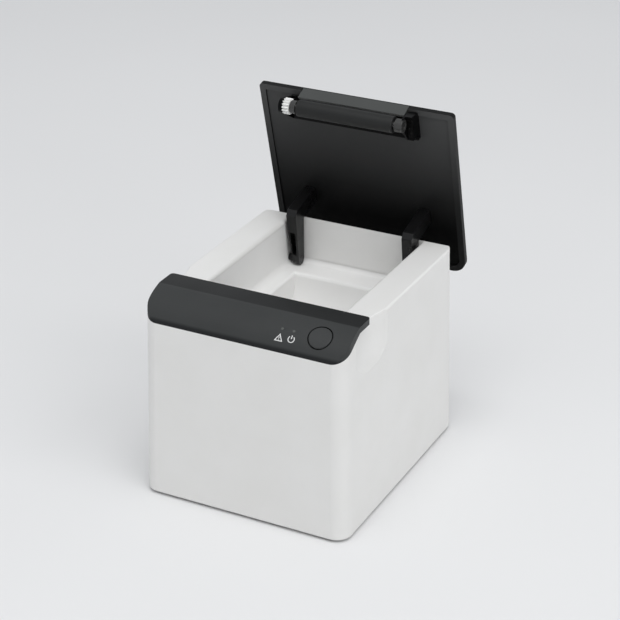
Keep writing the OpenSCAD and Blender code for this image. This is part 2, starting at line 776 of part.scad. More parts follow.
// Screws from the liner's hidden side into the bracket and the arms
lid_bite = 2;
bracket_screw_x = 20;
bracket_screw_inset = 5;
module bracket_holes() both_sides() {
    translate([bracket_screw_x, bar_back_y - bracket_screw_inset, 0]) children();
}
module arm_holes() both_sides() {
    translate([arm_mid_x, (leg_front_y + leg_back_y) / 2, 0]) children();
}
module lid_holes() {
    bracket_holes() children();
    arm_holes() children();
}
module lid_thread() {
    translate([0, 0, liner_low_z - lid_bite - fit_gap]) cylinder(r = screw_r + thread_gap, h = lid_bite + 1);
}
module lid_screws() color("silver") opened() {
    lid_holes() translate([0, 0, liner_top_z]) flat_screw(liner_t + lid_bite, 0);
}

// Hooked arms: a grooved lower leg from the pivot, and an upright leg to the lid
arm_out_x = bay_w / 2 - 1.4;
arm_in_x = arm_out_x - arm_w;
arm_mid_x = (arm_out_x + arm_in_x) / 2;
leg_back_y = pivot[0] - leg_reach;
leg_front_y = leg_back_y - leg_t;
knee = 2.5;
knee_rise = 0.4;
crook_rise = 8.6;
groove_wall = 1.2;
groove_len = 13.5;
groove_back_y = pivot[0] - boss_r - 0.8;
groove_top_z = pivot[1] + 2.2;
module hinge_arm() opened() difference() {
    union() {
        rod(arm_in_x, arm_out_x, boss_r, pivot);
        across(arm_in_x, arm_out_x) polygon([
            [pivot[0], pivot[1] - boss_r], [leg_front_y + knee, pivot[1] + knee_rise],
            [leg_front_y, pivot[1] + knee_rise + knee], [leg_front_y, liner_low_z], [leg_back_y, liner_low_z],
            [leg_back_y, pivot[1] + crook_rise], [pivot[0], pivot[1] + boss_r]
        ]);
    }
    rod(arm_in_x - 1, arm_out_x + 1, pin_r + run_gap, pivot);
    arm_holes() lid_thread();
    block(
        arm_in_x + groove_wall, arm_out_x - groove_wall, groove_back_y - groove_len, groove_back_y,
        0, groove_top_z
    );
}
module hinge_arm_left() color("black") mirror([1, 0, 0]) hinge_arm();
module hinge_arm_right() color("black") hinge_arm();
pin_head_t = 1;
module hinge_pins() color("silver") both_sides() {
    rod(arm_in_x, pin_end_x + skin, pin_r, pivot);
    rod(pin_end_x, pin_end_x + pin_head_t, pin_r + 1.2, pivot);
}

// Platen

module platen_roller() color("darkslategray") opened() difference() {
    rod(-roller_len / 2, roller_len / 2, roller_r, platen);
    rod(-roller_len, roller_len, shaft_r, platen);
}
module platen_shaft() color("silver") opened() rod(-ear_out, plate_out, shaft_r, platen);
module platen_gear() color("white") opened() difference() {
    gear(-gear_out, -gear_in, platen, platen_teeth, lift_angle + 180 + 180 / platen_teeth);
    rod(-far, far, shaft_r, platen);
}
module platen_bushes() color("dimgray") opened() difference() {
    union() {
        rod(-plate_out - fit_gap, -plate_in + fit_gap, bush_r, platen);
        rod(plate_in - fit_gap, right_ear_in + saddle_t, bush_r, platen);
    }
    rod(-far, far, shaft_r + run_gap, platen);
}

// Print mechanism

guide_t = 1.5;
guide_back = [frame_back_y, platen[1] - roller_r - 6.5];
guide_front = [platen[0] - 1, platen[1] - roller_r - 1];
collar_r = 3;
module print_frame() color("dimgray") difference() {
    union() {
        both_sides() across(plate_in, plate_out) polygon([
            [frame_front_y, shelf_z], [frame_back_y, shelf_z], [frame_back_y, frame_top_z - 6],
            [platen[0] + bush_r + 2.5, frame_top_z], [frame_front_y, frame_top_z]
        ]);
        block(-frame_half, frame_half, frame_front_y, frame_back_y, shelf_z, frame_floor_z);
        block(-plate_out, plate_out, frame_front_y, frame_wall_y, shelf_z, frame_top_z);
        across(-plate_out, plate_out) polygon([
            guide_back, guide_front, guide_front - [0, guide_t], guide_back - [0, guide_t]
        ]);
    }
    across(-far, far) translate(platen) circle(r = bush_r + fit_gap);
    across(-far, far) translate(platen) polygon([
        [-bush_r - fit_gap, 0], [bush_r + fit_gap, 0], [bush_r + 2, far / 10], [-bush_r - fit_gap, far / 10]
    ]);
    rod(-far, far, head_pin_r, head_pin_at);
    rod(-far, 0, axle_r, reducer);
    rod(-plate_out - 1, -plate_in + 1, collar_r, motor);
    ribbon_slot(shelf_z, frame_floor_z);
    frame_holes() cylinder(r = screw_r + fit_gap, h = 3 * frame_floor_t, center = true);
}
frame_half = plate_out + 5.5;
module frame_holes() both_sides() for (y = [frame_front_y + 4, frame_back_y - 4]) {
    translate([frame_half - 2.8, y, shelf_z]) children();
}
module frame_screws() color("silver") frame_holes() translate([0, 0, frame_floor_t]) mirror([0, 0, 1]) {
    screw(frame_floor_t + shelf_t);
}

sensor_x = 6;
sensor_w = 6;
sensor_half = 2;
module paper_sensor() color("black") across(sensor_x, sensor_x + sensor_w) {
    mid = (guide_back + guide_front) / 2 - [0, guide_t];
    run = sensor_half * (guide_front - guide_back) / norm(guide_front - guide_back);
    down = [-run[1], run[0]];
    polygon([mid - run, mid + run, mid + run + down, mid - run + down]);
}

tooth_pitch = 1.5;
tear_t = 0.4;
module tear_bar() color("silver") {
    count = floor(roller_len / tooth_pitch);
    half = count * tooth_pitch / 2;
    translate([0, panel_back_y + tear_t, 0]) rotate([90, 0, 0]) linear_extrude(tear_t) polygon(concat(
        [[half, bed_z], [-half, bed_z]],
        [for (i = [0 : 2 * count]) [i * tooth_pitch / 2 - half, lid_top_z - (i % 2 == 0 ? 1 : 0.3)]]
    ));
}

module head_heatsink() color("silver") difference() {
    union() {
        block(-head_half, head_half, sink_front_y, sink_back_y, head_pin_at[1], head_top_z);
        rod(-head_half, head_half, head_knuckle_r, head_pin_at);
    }
    rod(-far, far, head_pin_r + run_gap, head_pin_at);
}
ceramic_low = 5;
module print_head() color("white") {
    half = roller_len / 2 - 1;
    block(-half, half, sink_back_y, head_face_y, platen[1] - ceramic_low, head_top_z - 0.5);
}
module head_pin() color("silver") rod(-plate_out, plate_out, head_pin_r, head_pin_at);
module head_springs() color("silver") both_sides() translate([spring_x, frame_wall_y, platen[1] + 1]) {
    rotate([-90, 0, 0]) difference() {
        cylinder(r = spring_r, h = spring_len);
        translate([0, 0, -1]) cylinder(r = spring_r - 0.5, h = spring_len + 2);
    }
}

module stepper_motor() color("silver") difference() {
    union() {
        rod(-plate_in, motor_len - plate_in, motor_r, motor);
        rod(-plate_in - 1, -plate_in + skin, collar_r - fit_gap, motor);
    }
    rod(-plate_in - 2, motor_len - plate_in - 1, motor_shaft_r + run_gap, motor);
}
module motor_shaft() color("gray") rod(-wheel_out, motor_len - plate_in - 1.5, motor_shaft_r, motor);
module motor_pinion() color("goldenrod") difference() {
    gear(-wheel_out, -wheel_in, motor, pinion_teeth, motor_dir + 180 + 180 / pinion_teeth);
    rod(-far, far, motor_shaft_r, motor);
}
module reduction_gear() color("white") difference() {
    union() {
        gear(-gear_out, -gear_in, reducer, small_teeth, lift_angle);
        rod(-wheel_in - skin, -gear_out + skin, hub_r, reducer);
        gear(-wheel_out, -wheel_in, reducer, wheel_teeth, motor_dir);
    }
    rod(-far, far, axle_r + run_gap, reducer);
}
module gear_axle() color("silver") {
    rod(-wheel_out - open_gap - skin, -plate_in, axle_r, reducer);
    rod(-wheel_out - open_gap - 0.8, -wheel_out - open_gap, axle_r + 1, reducer);
}

// Electronics

module main_board() color("seagreen") difference() {
    block(-board_w / 2, board_w / 2, board_front_y, board_back_y, board_low_z, board_top_z);
    standoffs() cylinder(r = screw_r + fit_gap, h = standoff_h + board_t + 1);
}
module board_screws() color("silver") standoffs() translate([0, 0, skin + standoff_h + board_t]) {
    mirror([0, 0, 1]) screw(board_t + 4);
}
chip_w = 14;
chip_t = 1.5;
chip_at = [-22, 0];
module control_chip() color("black") {
    translate([chip_at[0], chip_at[1], board_top_z]) cube([chip_w, chip_w, chip_t]);
}
capacitor_r = 5;
capacitor_h = 20;
capacitor_at = [14, 24];
module bulk_capacitor() color("midnightblue") {
    translate([capacitor_at[0], capacitor_at[1], board_top_z]) cylinder(r = capacitor_r, h = capacitor_h);
}

connector_h = 5;
connector_wall = 2;
ribbon_seat = 1;
module board_connectors() color("ivory") {
    connector(head_ribbon_x, head_ribbon_y);
    connector(panel_ribbon_x, panel_ribbon_y);
}
module connector(x, y) {
    end_x = x + ribbon_w;
    end_y = y + ribbon_t;
    difference() {
        block(
            x - connector_wall, end_x + connector_wall, y - connector_wall, end_y + connector_wall,
            board_top_z, board_top_z + connector_h
        );
        block(x - run_gap, end_x + run_gap, y - run_gap, end_y + run_gap, board_top_z + ribbon_seat, far);
    }
}
module head_ribbon() color("sandybrown") block(
    head_ribbon_x, head_ribbon_x + ribbon_w, head_ribbon_y, head_ribbon_y + ribbon_t,
    board_top_z + ribbon_seat, head_pin_at[1]
);

// The panel's ribbon ends on the underside of the tilted panel board
panel_under = button_at + (switch_base_z - board_t) * [-sin(button_tilt), cos(button_tilt)];
panel_ribbon_y = panel_under[0] - 1;
module panel_ribbon() color("sandybrown") across(panel_ribbon_x, panel_ribbon_x + ribbon_w) {
    back_y = panel_ribbon_y + ribbon_t;
    low_z = board_top_z + ribbon_seat;
    polygon([
        [panel_ribbon_y, low_z], [back_y, low_z], [back_y, ribbon_end_z(back_y)],
        [panel_ribbon_y, ribbon_end_z(panel_ribbon_y)]
    ]);
}
function ribbon_end_z(y) = panel_under[1] + (y - panel_under[0]) * tan(button_tilt);

// Sockets with the mouth that takes each plug
socket_depth = 15;
plug_depth = 10;
usb_mouth = [8.6, 8];
usb_tongue = [5.6, 2.1];
drawer_mouth = [9.8, 6.6];
drawer_latch = [6, 1.8];
drawer_low = 2;
power_mouth_r = 3.2;
power_pin_r = 1;
module socket_box(x, w) {
    block(
        x - w / 2, x + w / 2, socket_face_y - socket_depth, socket_face_y,
        board_top_z, board_top_z + socket_h
    );
}
module mouth(x, z, size, depth) {
    block(x - size[0] / 2, x + size[0] / 2, socket_face_y - depth, far, z, z + size[1]);
}
module usb_socket() color("silver") {
    low_z = board_top_z + (socket_h - usb_mouth[1]) / 2;
    tongue_z = low_z + usb_mouth[1] - usb_tongue[1] - 1;
    difference() {
        socket_box(usb_x, usb_w);
        mouth(usb_x, low_z, usb_mouth, plug_depth);
    }
    block(
        usb_x - usb_tongue[0] / 2, usb_x + usb_tongue[0] / 2, socket_face_y - plug_depth - 0.5,
        socket_face_y - 1.5, tongue_z, tongue_z + usb_tongue[1]
    );
}
module drawer_socket() color("black") difference() {
    latch_z = board_top_z + drawer_low + drawer_mouth[1] - 0.6;
    socket_box(drawer_x, drawer_w);
    mouth(drawer_x, board_top_z + drawer_low, drawer_mouth, plug_depth + 2);
    mouth(drawer_x, latch_z, drawer_latch, plug_depth - 1);
}
module power_socket() color("black") {
    difference() {
        socket_box(power_x, power_w);
        power_bore(1, power_mouth_r, plug_depth);
    }
    power_bore(-1.5, power_pin_r, plug_depth - 2);
}
module power_bore(from, r, length) {
    translate([power_x, socket_face_y + from, board_top_z + socket_h / 2]) {
        rotate([90, 0, 0]) cylinder(r = r, h = length);
    }
}

// Rocker switch let into the back wall
bezel_t = 1.4;
bezel_edge = 1.2;
bezel_y = half_d(rocker_z - rocker_h / 2) + run_gap;
switch_depth = 13;
well_wall = 1.4;
well_depth = 8;
rocker_half_h = rocker_h / 2 - 2.2;
well_half_h = rocker_half_h + rocker_gap + 0.5;
rocker_axis = [bezel_y - 2.2, rocker_z];
trunnion_r = 0.8;
trunnion_half = rocker_w / 2 - 0.5;
module switch_box(g, y0, y1) {
    block(
        switch_x - rocker_w / 2 - g, switch_x + rocker_w / 2 + g, y0, y1,
        rocker_z - rocker_h / 2 - g, rocker_z + rocker_h / 2 + g
    );
}
module power_switch() color("black") difference() {
    union() {
        switch_box(0, bezel_y - switch_depth, bezel_y + bezel_t);
        switch_box(bezel_edge, bezel_y, bezel_y + bezel_t);
    }
    block(
        switch_x - rocker_w / 2 + well_wall, switch_x + rocker_w / 2 - well_wall, bezel_y - well_depth, far,
        rocker_z - well_half_h, rocker_z + well_half_h
    );
    rod(switch_x - trunnion_half - 0.1, switch_x + trunnion_half + 0.1, trunnion_r + run_gap, rocker_axis);
}
module power_rocker() color("dimgray") {
    half = rocker_w / 2 - well_wall - rocker_gap;
    translate([0, rocker_axis[0], rocker_axis[1]]) rotate([-rocker_tilt, 0, 0]) {
        across(switch_x - half, switch_x + half) polygon([
            [-3.5, -3], [0, -rocker_half_h], [2.6, -rocker_half_h], [2, 0], [2.6, rocker_half_h],
            [0, rocker_half_h], [-3.5, 3]
        ]);
    }
    rod(switch_x - trunnion_half, switch_x + trunnion_half, trunnion_r, rocker_axis);
}

placed() upper_case();
placed() base_cover();
placed() rubber_feet();
placed() base_screws();
placed() paper_bucket();
placed() front_panel();
placed() feed_button();
placed() switch_plunger();
placed() feed_switch();
placed() panel_board();
placed() panel_screws();
placed() status_lights();
placed() lid_cover();
placed() lid_liner();
placed() exit_lip();
placed() platen_bracket();
placed() lid_screws();
placed() hinge_arm_left();
placed() hinge_arm_right();
placed() hinge_pins();
placed() platen_roller();
placed() platen_shaft();
placed() platen_gear();
placed() platen_bushes();
placed() print_frame();
placed() frame_screws();
placed() paper_sensor();
placed() tear_bar();
placed() print_head();
placed() head_heatsink();
placed() head_pin();
placed() head_springs();
placed() stepper_motor();
placed() motor_shaft();
placed() motor_pinion();
placed() reduction_gear();
placed() gear_axle();
placed() main_board();
placed() board_screws();
placed() control_chip();
placed() bulk_capacitor();
placed() board_connectors();
placed() head_ribbon();
placed() panel_ribbon();
placed() usb_socket();
placed() drawer_socket();
placed() power_socket();
placed() power_switch();
placed() power_rocker();
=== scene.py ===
"""Looks of the receipt printer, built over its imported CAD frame.

Lengths in the code are in millimetres. Only the camera, the floor and the lamps are given in metres.
"""
import json
import math

import bmesh
import bpy
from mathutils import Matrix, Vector


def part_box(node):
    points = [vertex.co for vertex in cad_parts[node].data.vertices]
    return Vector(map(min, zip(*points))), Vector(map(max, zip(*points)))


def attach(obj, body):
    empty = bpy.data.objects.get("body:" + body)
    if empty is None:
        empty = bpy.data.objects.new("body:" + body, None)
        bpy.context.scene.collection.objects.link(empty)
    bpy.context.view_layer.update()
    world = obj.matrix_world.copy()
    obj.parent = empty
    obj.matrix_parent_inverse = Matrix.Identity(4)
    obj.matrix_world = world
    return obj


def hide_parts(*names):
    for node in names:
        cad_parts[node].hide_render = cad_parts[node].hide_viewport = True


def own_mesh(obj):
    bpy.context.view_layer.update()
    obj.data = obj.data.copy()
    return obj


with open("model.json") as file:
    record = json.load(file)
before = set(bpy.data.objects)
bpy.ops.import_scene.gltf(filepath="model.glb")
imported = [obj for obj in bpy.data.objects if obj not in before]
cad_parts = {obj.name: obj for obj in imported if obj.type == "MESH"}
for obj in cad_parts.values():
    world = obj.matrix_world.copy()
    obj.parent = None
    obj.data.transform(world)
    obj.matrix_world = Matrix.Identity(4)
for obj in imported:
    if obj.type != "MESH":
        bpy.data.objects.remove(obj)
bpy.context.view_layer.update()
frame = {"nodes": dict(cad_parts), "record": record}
scene = bpy.context.scene
MM = 0.001
NODES = frame["nodes"]
BODY_OF = {node: body for body, nodes in frame["record"]["behaviour"]["bodies"].items() for node in nodes}
SLOT_OF = {part["node"]: part["material_slot"] for part in frame["record"]["subparts"]}


# Camera of the photograph: its place in metres, its angles in degrees, its shift in shares of the frame

CAMERA_PLACE = (0.38948, -0.76534, 0.50776)
CAMERA_TILT, CAMERA_TURN = 63.63, 26.94
CAMERA_LENS, CAMERA_SENSOR = 108.39, 36
CAMERA_SHIFT = -1.9 / 620
CAMERA_REACH = 20


def set_camera():
    data = bpy.data.cameras.new("photo_camera")
    data.sensor_width = CAMERA_SENSOR
    data.lens = CAMERA_LENS
    data.shift_x = CAMERA_SHIFT
    data.clip_end = CAMERA_REACH
    camera = bpy.data.objects.new("photo_camera", data)
    scene.collection.objects.link(camera)
    camera.location = CAMERA_PLACE
    camera.rotation_euler = (math.radians(CAMERA_TILT), 0, math.radians(CAMERA_TURN))
    scene.camera = camera


# Node trees

def new_group(name, kind, inputs, outputs):
    """Node group with sockets given as (name, kind, value), and those sockets as its own nodes see them."""
    tree = bpy.data.node_groups.new(name, kind)
    for side, rows in (("INPUT", inputs), ("OUTPUT", outputs)):
        for label, socket, value in rows:
            item = tree.interface.new_socket(label, in_out=side, socket_type="NodeSocket" + socket)
            if value is not None:
                item.default_value = value
    return tree, tree.nodes.new("NodeGroupInput").outputs, tree.nodes.new("NodeGroupOutput").inputs


def add(tree, kind, links=(), **settings):
    """Adds a node, sets what it is given, and fills its sockets from (socket, output or value) pairs."""
    node = tree.nodes.new(kind)
    for key, value in settings.items():
        setattr(node, key, value)
    for socket, source in links:
        if isinstance(source, bpy.types.NodeSocket):
            tree.links.new(source, node.inputs[socket])
        else:
            node.inputs[socket].default_value = source
    return node


def noise(tree, vector, scale, detail=2.0, rough=0.5):
    return add(tree, "ShaderNodeTexNoise", [
        ("Vector", vector), ("Scale", scale), ("Detail", detail), ("Roughness", rough)
    ]).outputs["Fac"]


def spread(tree, value, low, high, to_low=0.0, to_high=1.0):
    return add(tree, "ShaderNodeMapRange", [
        ("Value", value), ("From Min", low), ("From Max", high), ("To Min", to_low), ("To Max", to_high)
    ]).outputs["Result"]


def mixed(tree, factor, a, b, blend="MIX"):
    """Mix of two colours: the node's colour sockets have the numbers 6, 7 and 2."""
    links = [(0, factor), (6, a), (7, b)]
    return add(tree, "ShaderNodeMix", links, data_type="RGBA", blend_type=blend).outputs[2]


def math_node(tree, operation, *values):
    return add(tree, "ShaderNodeMath", list(enumerate(values)), operation=operation).outputs[0]


def axis_of(tree, vector, axis):
    return add(tree, "ShaderNodeSeparateXYZ", [("Vector", vector)]).outputs[axis]


def colour(r, g, b):
    return (r, g, b, 1.0)


# Shader groups shared by the finishes

SURFACE = [("Color", "Color", None), ("Roughness", "Float", None), ("Height", "Float", None)]


def moulded_skin_group():
    """Spark-eroded mould texture: slow tone drift, fine pits, and gloss that follows both."""
    grain_share, pit_share = 0.3, 0.5
    tree, given, out = new_group("moulded_skin", "ShaderNodeTree", [
        ("Vector", "Vector", None), ("Body", "Color", None), ("Shade", "Color", None),
        ("Drift Scale", "Float", 40.0), ("Grain Scale", "Float", 2500.0),
        ("Gloss Low", "Float", 0.35), ("Gloss High", "Float", 0.5),
    ], SURFACE)
    vector, scale = given["Vector"], given["Grain Scale"]
    drift = noise(tree, vector, given["Drift Scale"], 3.0)
    grain = noise(tree, vector, scale, 3.0, 0.6)
    pits = add(tree, "ShaderNodeTexVoronoi", [("Vector", vector), ("Scale", scale)]).outputs["Distance"]
    slow = math_node(tree, "MULTIPLY", spread(tree, drift, 0.3, 0.7), 1 - grain_share)
    blend = math_node(tree, "MULTIPLY_ADD", spread(tree, grain, 0.35, 0.65), grain_share, slow)
    raised = math_node(tree, "MULTIPLY", grain, 1 - pit_share)
    tree.links.new(mixed(tree, blend, given["Body"], given["Shade"]), out["Color"])
    tree.links.new(spread(tree, blend, 0.0, 1.0, given["Gloss Low"], given["Gloss High"]), out["Roughness"])
    tree.links.new(math_node(tree, "MULTIPLY_ADD", pits, pit_share, raised), out["Height"])
    return tree


def drawn_metal_group():
    """Drawn or brushed metal: fine lines along one axis, and a slow tarnish."""
    cloud_scale = 160.0
    tree, given, out = new_group("drawn_metal", "ShaderNodeTree", [
        ("Vector", "Vector", None), ("Bright", "Color", None), ("Tarnish", "Color", None),
        ("Stretch", "Vector", None), ("Gloss Low", "Float", 0.2), ("Gloss High", "Float", 0.4),
    ], SURFACE)
    along = add(tree, "ShaderNodeVectorMath", [(0, given["Vector"]), (1, given["Stretch"])], operation="MULTIPLY")
    lines = noise(tree, along.outputs[0], 1.0, 4.0, 0.7)
    cloud = noise(tree, given["Vector"], cloud_scale, 3.0)
    mask = spread(tree, math_node(tree, "MULTIPLY", lines, cloud), 0.15, 0.36)
    tree.links.new(mixed(tree, mask, given["Bright"], given["Tarnish"]), out["Color"])
    tree.links.new(spread(tree, mask, 0.0, 1.0, given["Gloss Low"], given["Gloss High"]), out["Roughness"])
    tree.links.new(lines, out["Height"])
    return tree


def handled_group():
    """Faint finger smears on glossy plastic: broad soft patches that dull the gloss."""
    streak_scale = 260.0
    tree, given, out = new_group("handled", "ShaderNodeTree", [
        ("Vector", "Vector", None), ("Roughness", "Float", 0.15), ("Dulling", "Float", 0.12),
        ("Patch Scale", "Float", 30.0),
    ], [("Roughness", "Float", None)])
    patch = spread(tree, noise(tree, given["Vector"], given["Patch Scale"], 2.0), 0.5, 0.75)
    streak = spread(tree, noise(tree, given["Vector"], streak_scale, 4.0), 0.45, 0.7, 0.3, 1.0)
    amount = math_node(tree, "MULTIPLY", math_node(tree, "MULTIPLY", patch, streak), given["Dulling"])
    tree.links.new(math_node(tree, "ADD", given["Roughness"], amount), out["Roughness"])
    return tree


SKIN = moulded_skin_group()
METAL = drawn_metal_group()
HANDLED = handled_group()


# Painted light and shade: tones that change with the place on a piece

# Painted shade on the panel: depths below its top of the level strip and of the lower edge, with their darkening tints
PANEL_SHADED_STRIP, PANEL_STRIP_SHADE_TINT = (0.2, 0.13), (0.42, 0.42, 0.42)
PANEL_SHADED_FOOT, PANEL_FOOT_SHADE_TINT = (10.6, 12.0), (0.25, 0.26, 0.28)
# Painted light and shade on the lid: shares of its height, and the lifted blacks of its middle and upper part
LID_LIGHT_SHARES = (0.24, 0.44, 1.0)
LID_LIT_MIDDLE, LID_LIT_UPPER = (0.013, 0.0132, 0.0132), (0.074, 0.0745, 0.0745)
# Range of the normal's Y over which the cover takes the lid's painted light and shade
COVER_INWARD = (-0.6, -0.9)


def panel_painted_shade(tree, coord, tint):
    """Painted shade: darkens the panel's colour on its level strip and along its lower edge, by depths below its top.
    """
    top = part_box("front_panel")[1].z
    height = axis_of(tree, coord, "Z")
    for depths, painted_shade in ((PANEL_SHADED_STRIP, PANEL_STRIP_SHADE_TINT), (PANEL_SHADED_FOOT, PANEL_FOOT_SHADE_TINT)):
        amount = spread(tree, height, *(top - depth * MM for depth in depths))
        tint = mixed(tree, amount, tint, colour(*painted_shade), "MULTIPLY")
    return tint


def lid_painted_light(tree, coord, tint):
    """Painted light and shade: the lid's black is lifted towards its upper edge, by shares of the lid's height at
    rest.
    """
    low, high = (corner.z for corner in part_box("lid_liner"))
    height = spread(tree, axis_of(tree, coord, "Z"), low, high)
    for start, end, painted_light in zip(LID_LIGHT_SHARES, LID_LIGHT_SHARES[1:], (LID_LIT_MIDDLE, LID_LIT_UPPER)):
        tint = mixed(tree, spread(tree, height, start, end), tint, colour(*painted_light))
    return tint


def cover_painted_light(tree, coord, tint):
    """Puts the lid's painted light and shade on the faces of its outer plate that look the same way as its inner
    plate.
    """
    facing = axis_of(tree, coord.node.outputs["Normal"], "Y")
    return mixed(tree, spread(tree, facing, *COVER_INWARD), tint, lid_painted_light(tree, coord, tint))


# Finishes

METAL_BUMP = (0.1, 0.01)


def new_material(name, **constants):
    """Material with one Principled shader, whose constant sockets are set directly."""
    material = bpy.data.materials.new(name)
    material.use_nodes = True
    tree = material.node_tree
    shader = tree.nodes["Principled BSDF"]
    for socket, value in constants.items():
        shader.inputs[socket].default_value = value
    coord = tree.nodes.new("ShaderNodeTexCoord").outputs["Object"]
    return material, tree, shader, coord


def bump(tree, shader, height, strength, distance):
    node = add(tree, "ShaderNodeBump", [("Height", height), ("Strength", strength), ("Distance", distance * MM)])
    tree.links.new(node.outputs["Normal"], shader.inputs["Normal"])


def plastic(name, body, shade, gloss, grain=2500.0, drift=40.0, depth=0.02, strength=0.25, smears=0.0, shine=0.5,
            tone=None, **constants):
    """Moulded plastic or rubber: body and shade are its two tones, gloss its roughness range; a tone function paints
    light and shade over the colour by place.
    """
    material, tree, shader, coord = new_material(name, **{"Specular IOR Level": shine}, **constants)
    skin = add(tree, "ShaderNodeGroup", [
        ("Vector", coord), ("Body", colour(*body)), ("Shade", colour(*shade)), ("Drift Scale", drift),
        ("Grain Scale", grain), ("Gloss Low", gloss[0]), ("Gloss High", gloss[1])
    ], node_tree=SKIN).outputs
    tint = skin["Color"]
    tree.links.new(tone(tree, coord, tint) if tone else tint, shader.inputs["Base Color"])
    roughness = skin["Roughness"]
    if smears:
        roughness = add(tree, "ShaderNodeGroup", [
            ("Vector", coord), ("Roughness", roughness), ("Dulling", smears)
        ], node_tree=HANDLED).outputs["Roughness"]
    tree.links.new(roughness, shader.inputs["Roughness"])
    bump(tree, shader, skin["Height"], strength, depth)
    return material


def metal(name, bright, tarnish, stretch, gloss):
    """Bare metal: stretch sets the scale of its drawn lines along each axis."""
    material, tree, shader, coord = new_material(name, Metallic=1.0)
    drawn = add(tree, "ShaderNodeGroup", [
        ("Vector", coord), ("Bright", colour(*bright)), ("Tarnish", colour(*tarnish)), ("Stretch", stretch),
        ("Gloss Low", gloss[0]), ("Gloss High", gloss[1])
    ], node_tree=METAL).outputs
    tree.links.new(drawn["Color"], shader.inputs["Base Color"])
    tree.links.new(drawn["Roughness"], shader.inputs["Roughness"])
    bump(tree, shader, drawn["Height"], *METAL_BUMP)
    return material


def laminate(name):
    """Green board with slightly raised tracks under the solder mask."""
    track_scale, weave_scale = 180.0, 1500.0
    material, tree, shader, coord = new_material(name, **{"Coat Weight": 0.3})
    tracks = add(tree, "ShaderNodeTexBrick", [
        ("Vector", coord), ("Color1", colour(0.02, 0.16, 0.07)), ("Color2", colour(0.015, 0.12, 0.05)),
        ("Mortar", colour(0.03, 0.24, 0.1)), ("Scale", track_scale), ("Mortar Size", 0.06)
    ]).outputs
    weave = noise(tree, coord, weave_scale, 2.0)
    threads = spread(tree, weave, 0.35, 0.65, 0.0, 0.35)
    tree.links.new(mixed(tree, threads, tracks["Color"], colour(0.01, 0.08, 0.035)), shader.inputs["Base Color"])
    tree.links.new(spread(tree, weave, 0.3, 0.7, 0.3, 0.45), shader.inputs["Roughness"])
    bump(tree, shader, tracks["Fac"], 0.3, 0.03)
    return material


def ribbon(name):
    """Flat cable: copper conductors showing through amber film."""
    wire_scale, fleck_scale = 160.0, 900.0
    material, tree, shader, coord = new_material(name, Roughness=0.3)
    lines = add(tree, "ShaderNodeTexWave", [("Vector", coord), ("Scale", wire_scale), ("Distortion", 0.0)],
                bands_direction="X").outputs["Fac"]
    strip = mixed(tree, spread(tree, lines, 0.4, 0.6), colour(0.42, 0.2, 0.06), colour(0.55, 0.3, 0.12))
    flecks = spread(tree, noise(tree, coord, fleck_scale, 2.0), 0.4, 0.7, 0.0, 0.25)
    tree.links.new(mixed(tree, flecks, strip, colour(0.3, 0.14, 0.04)), shader.inputs["Base Color"])
    bump(tree, shader, lines, 0.2, 0.03)
    return material


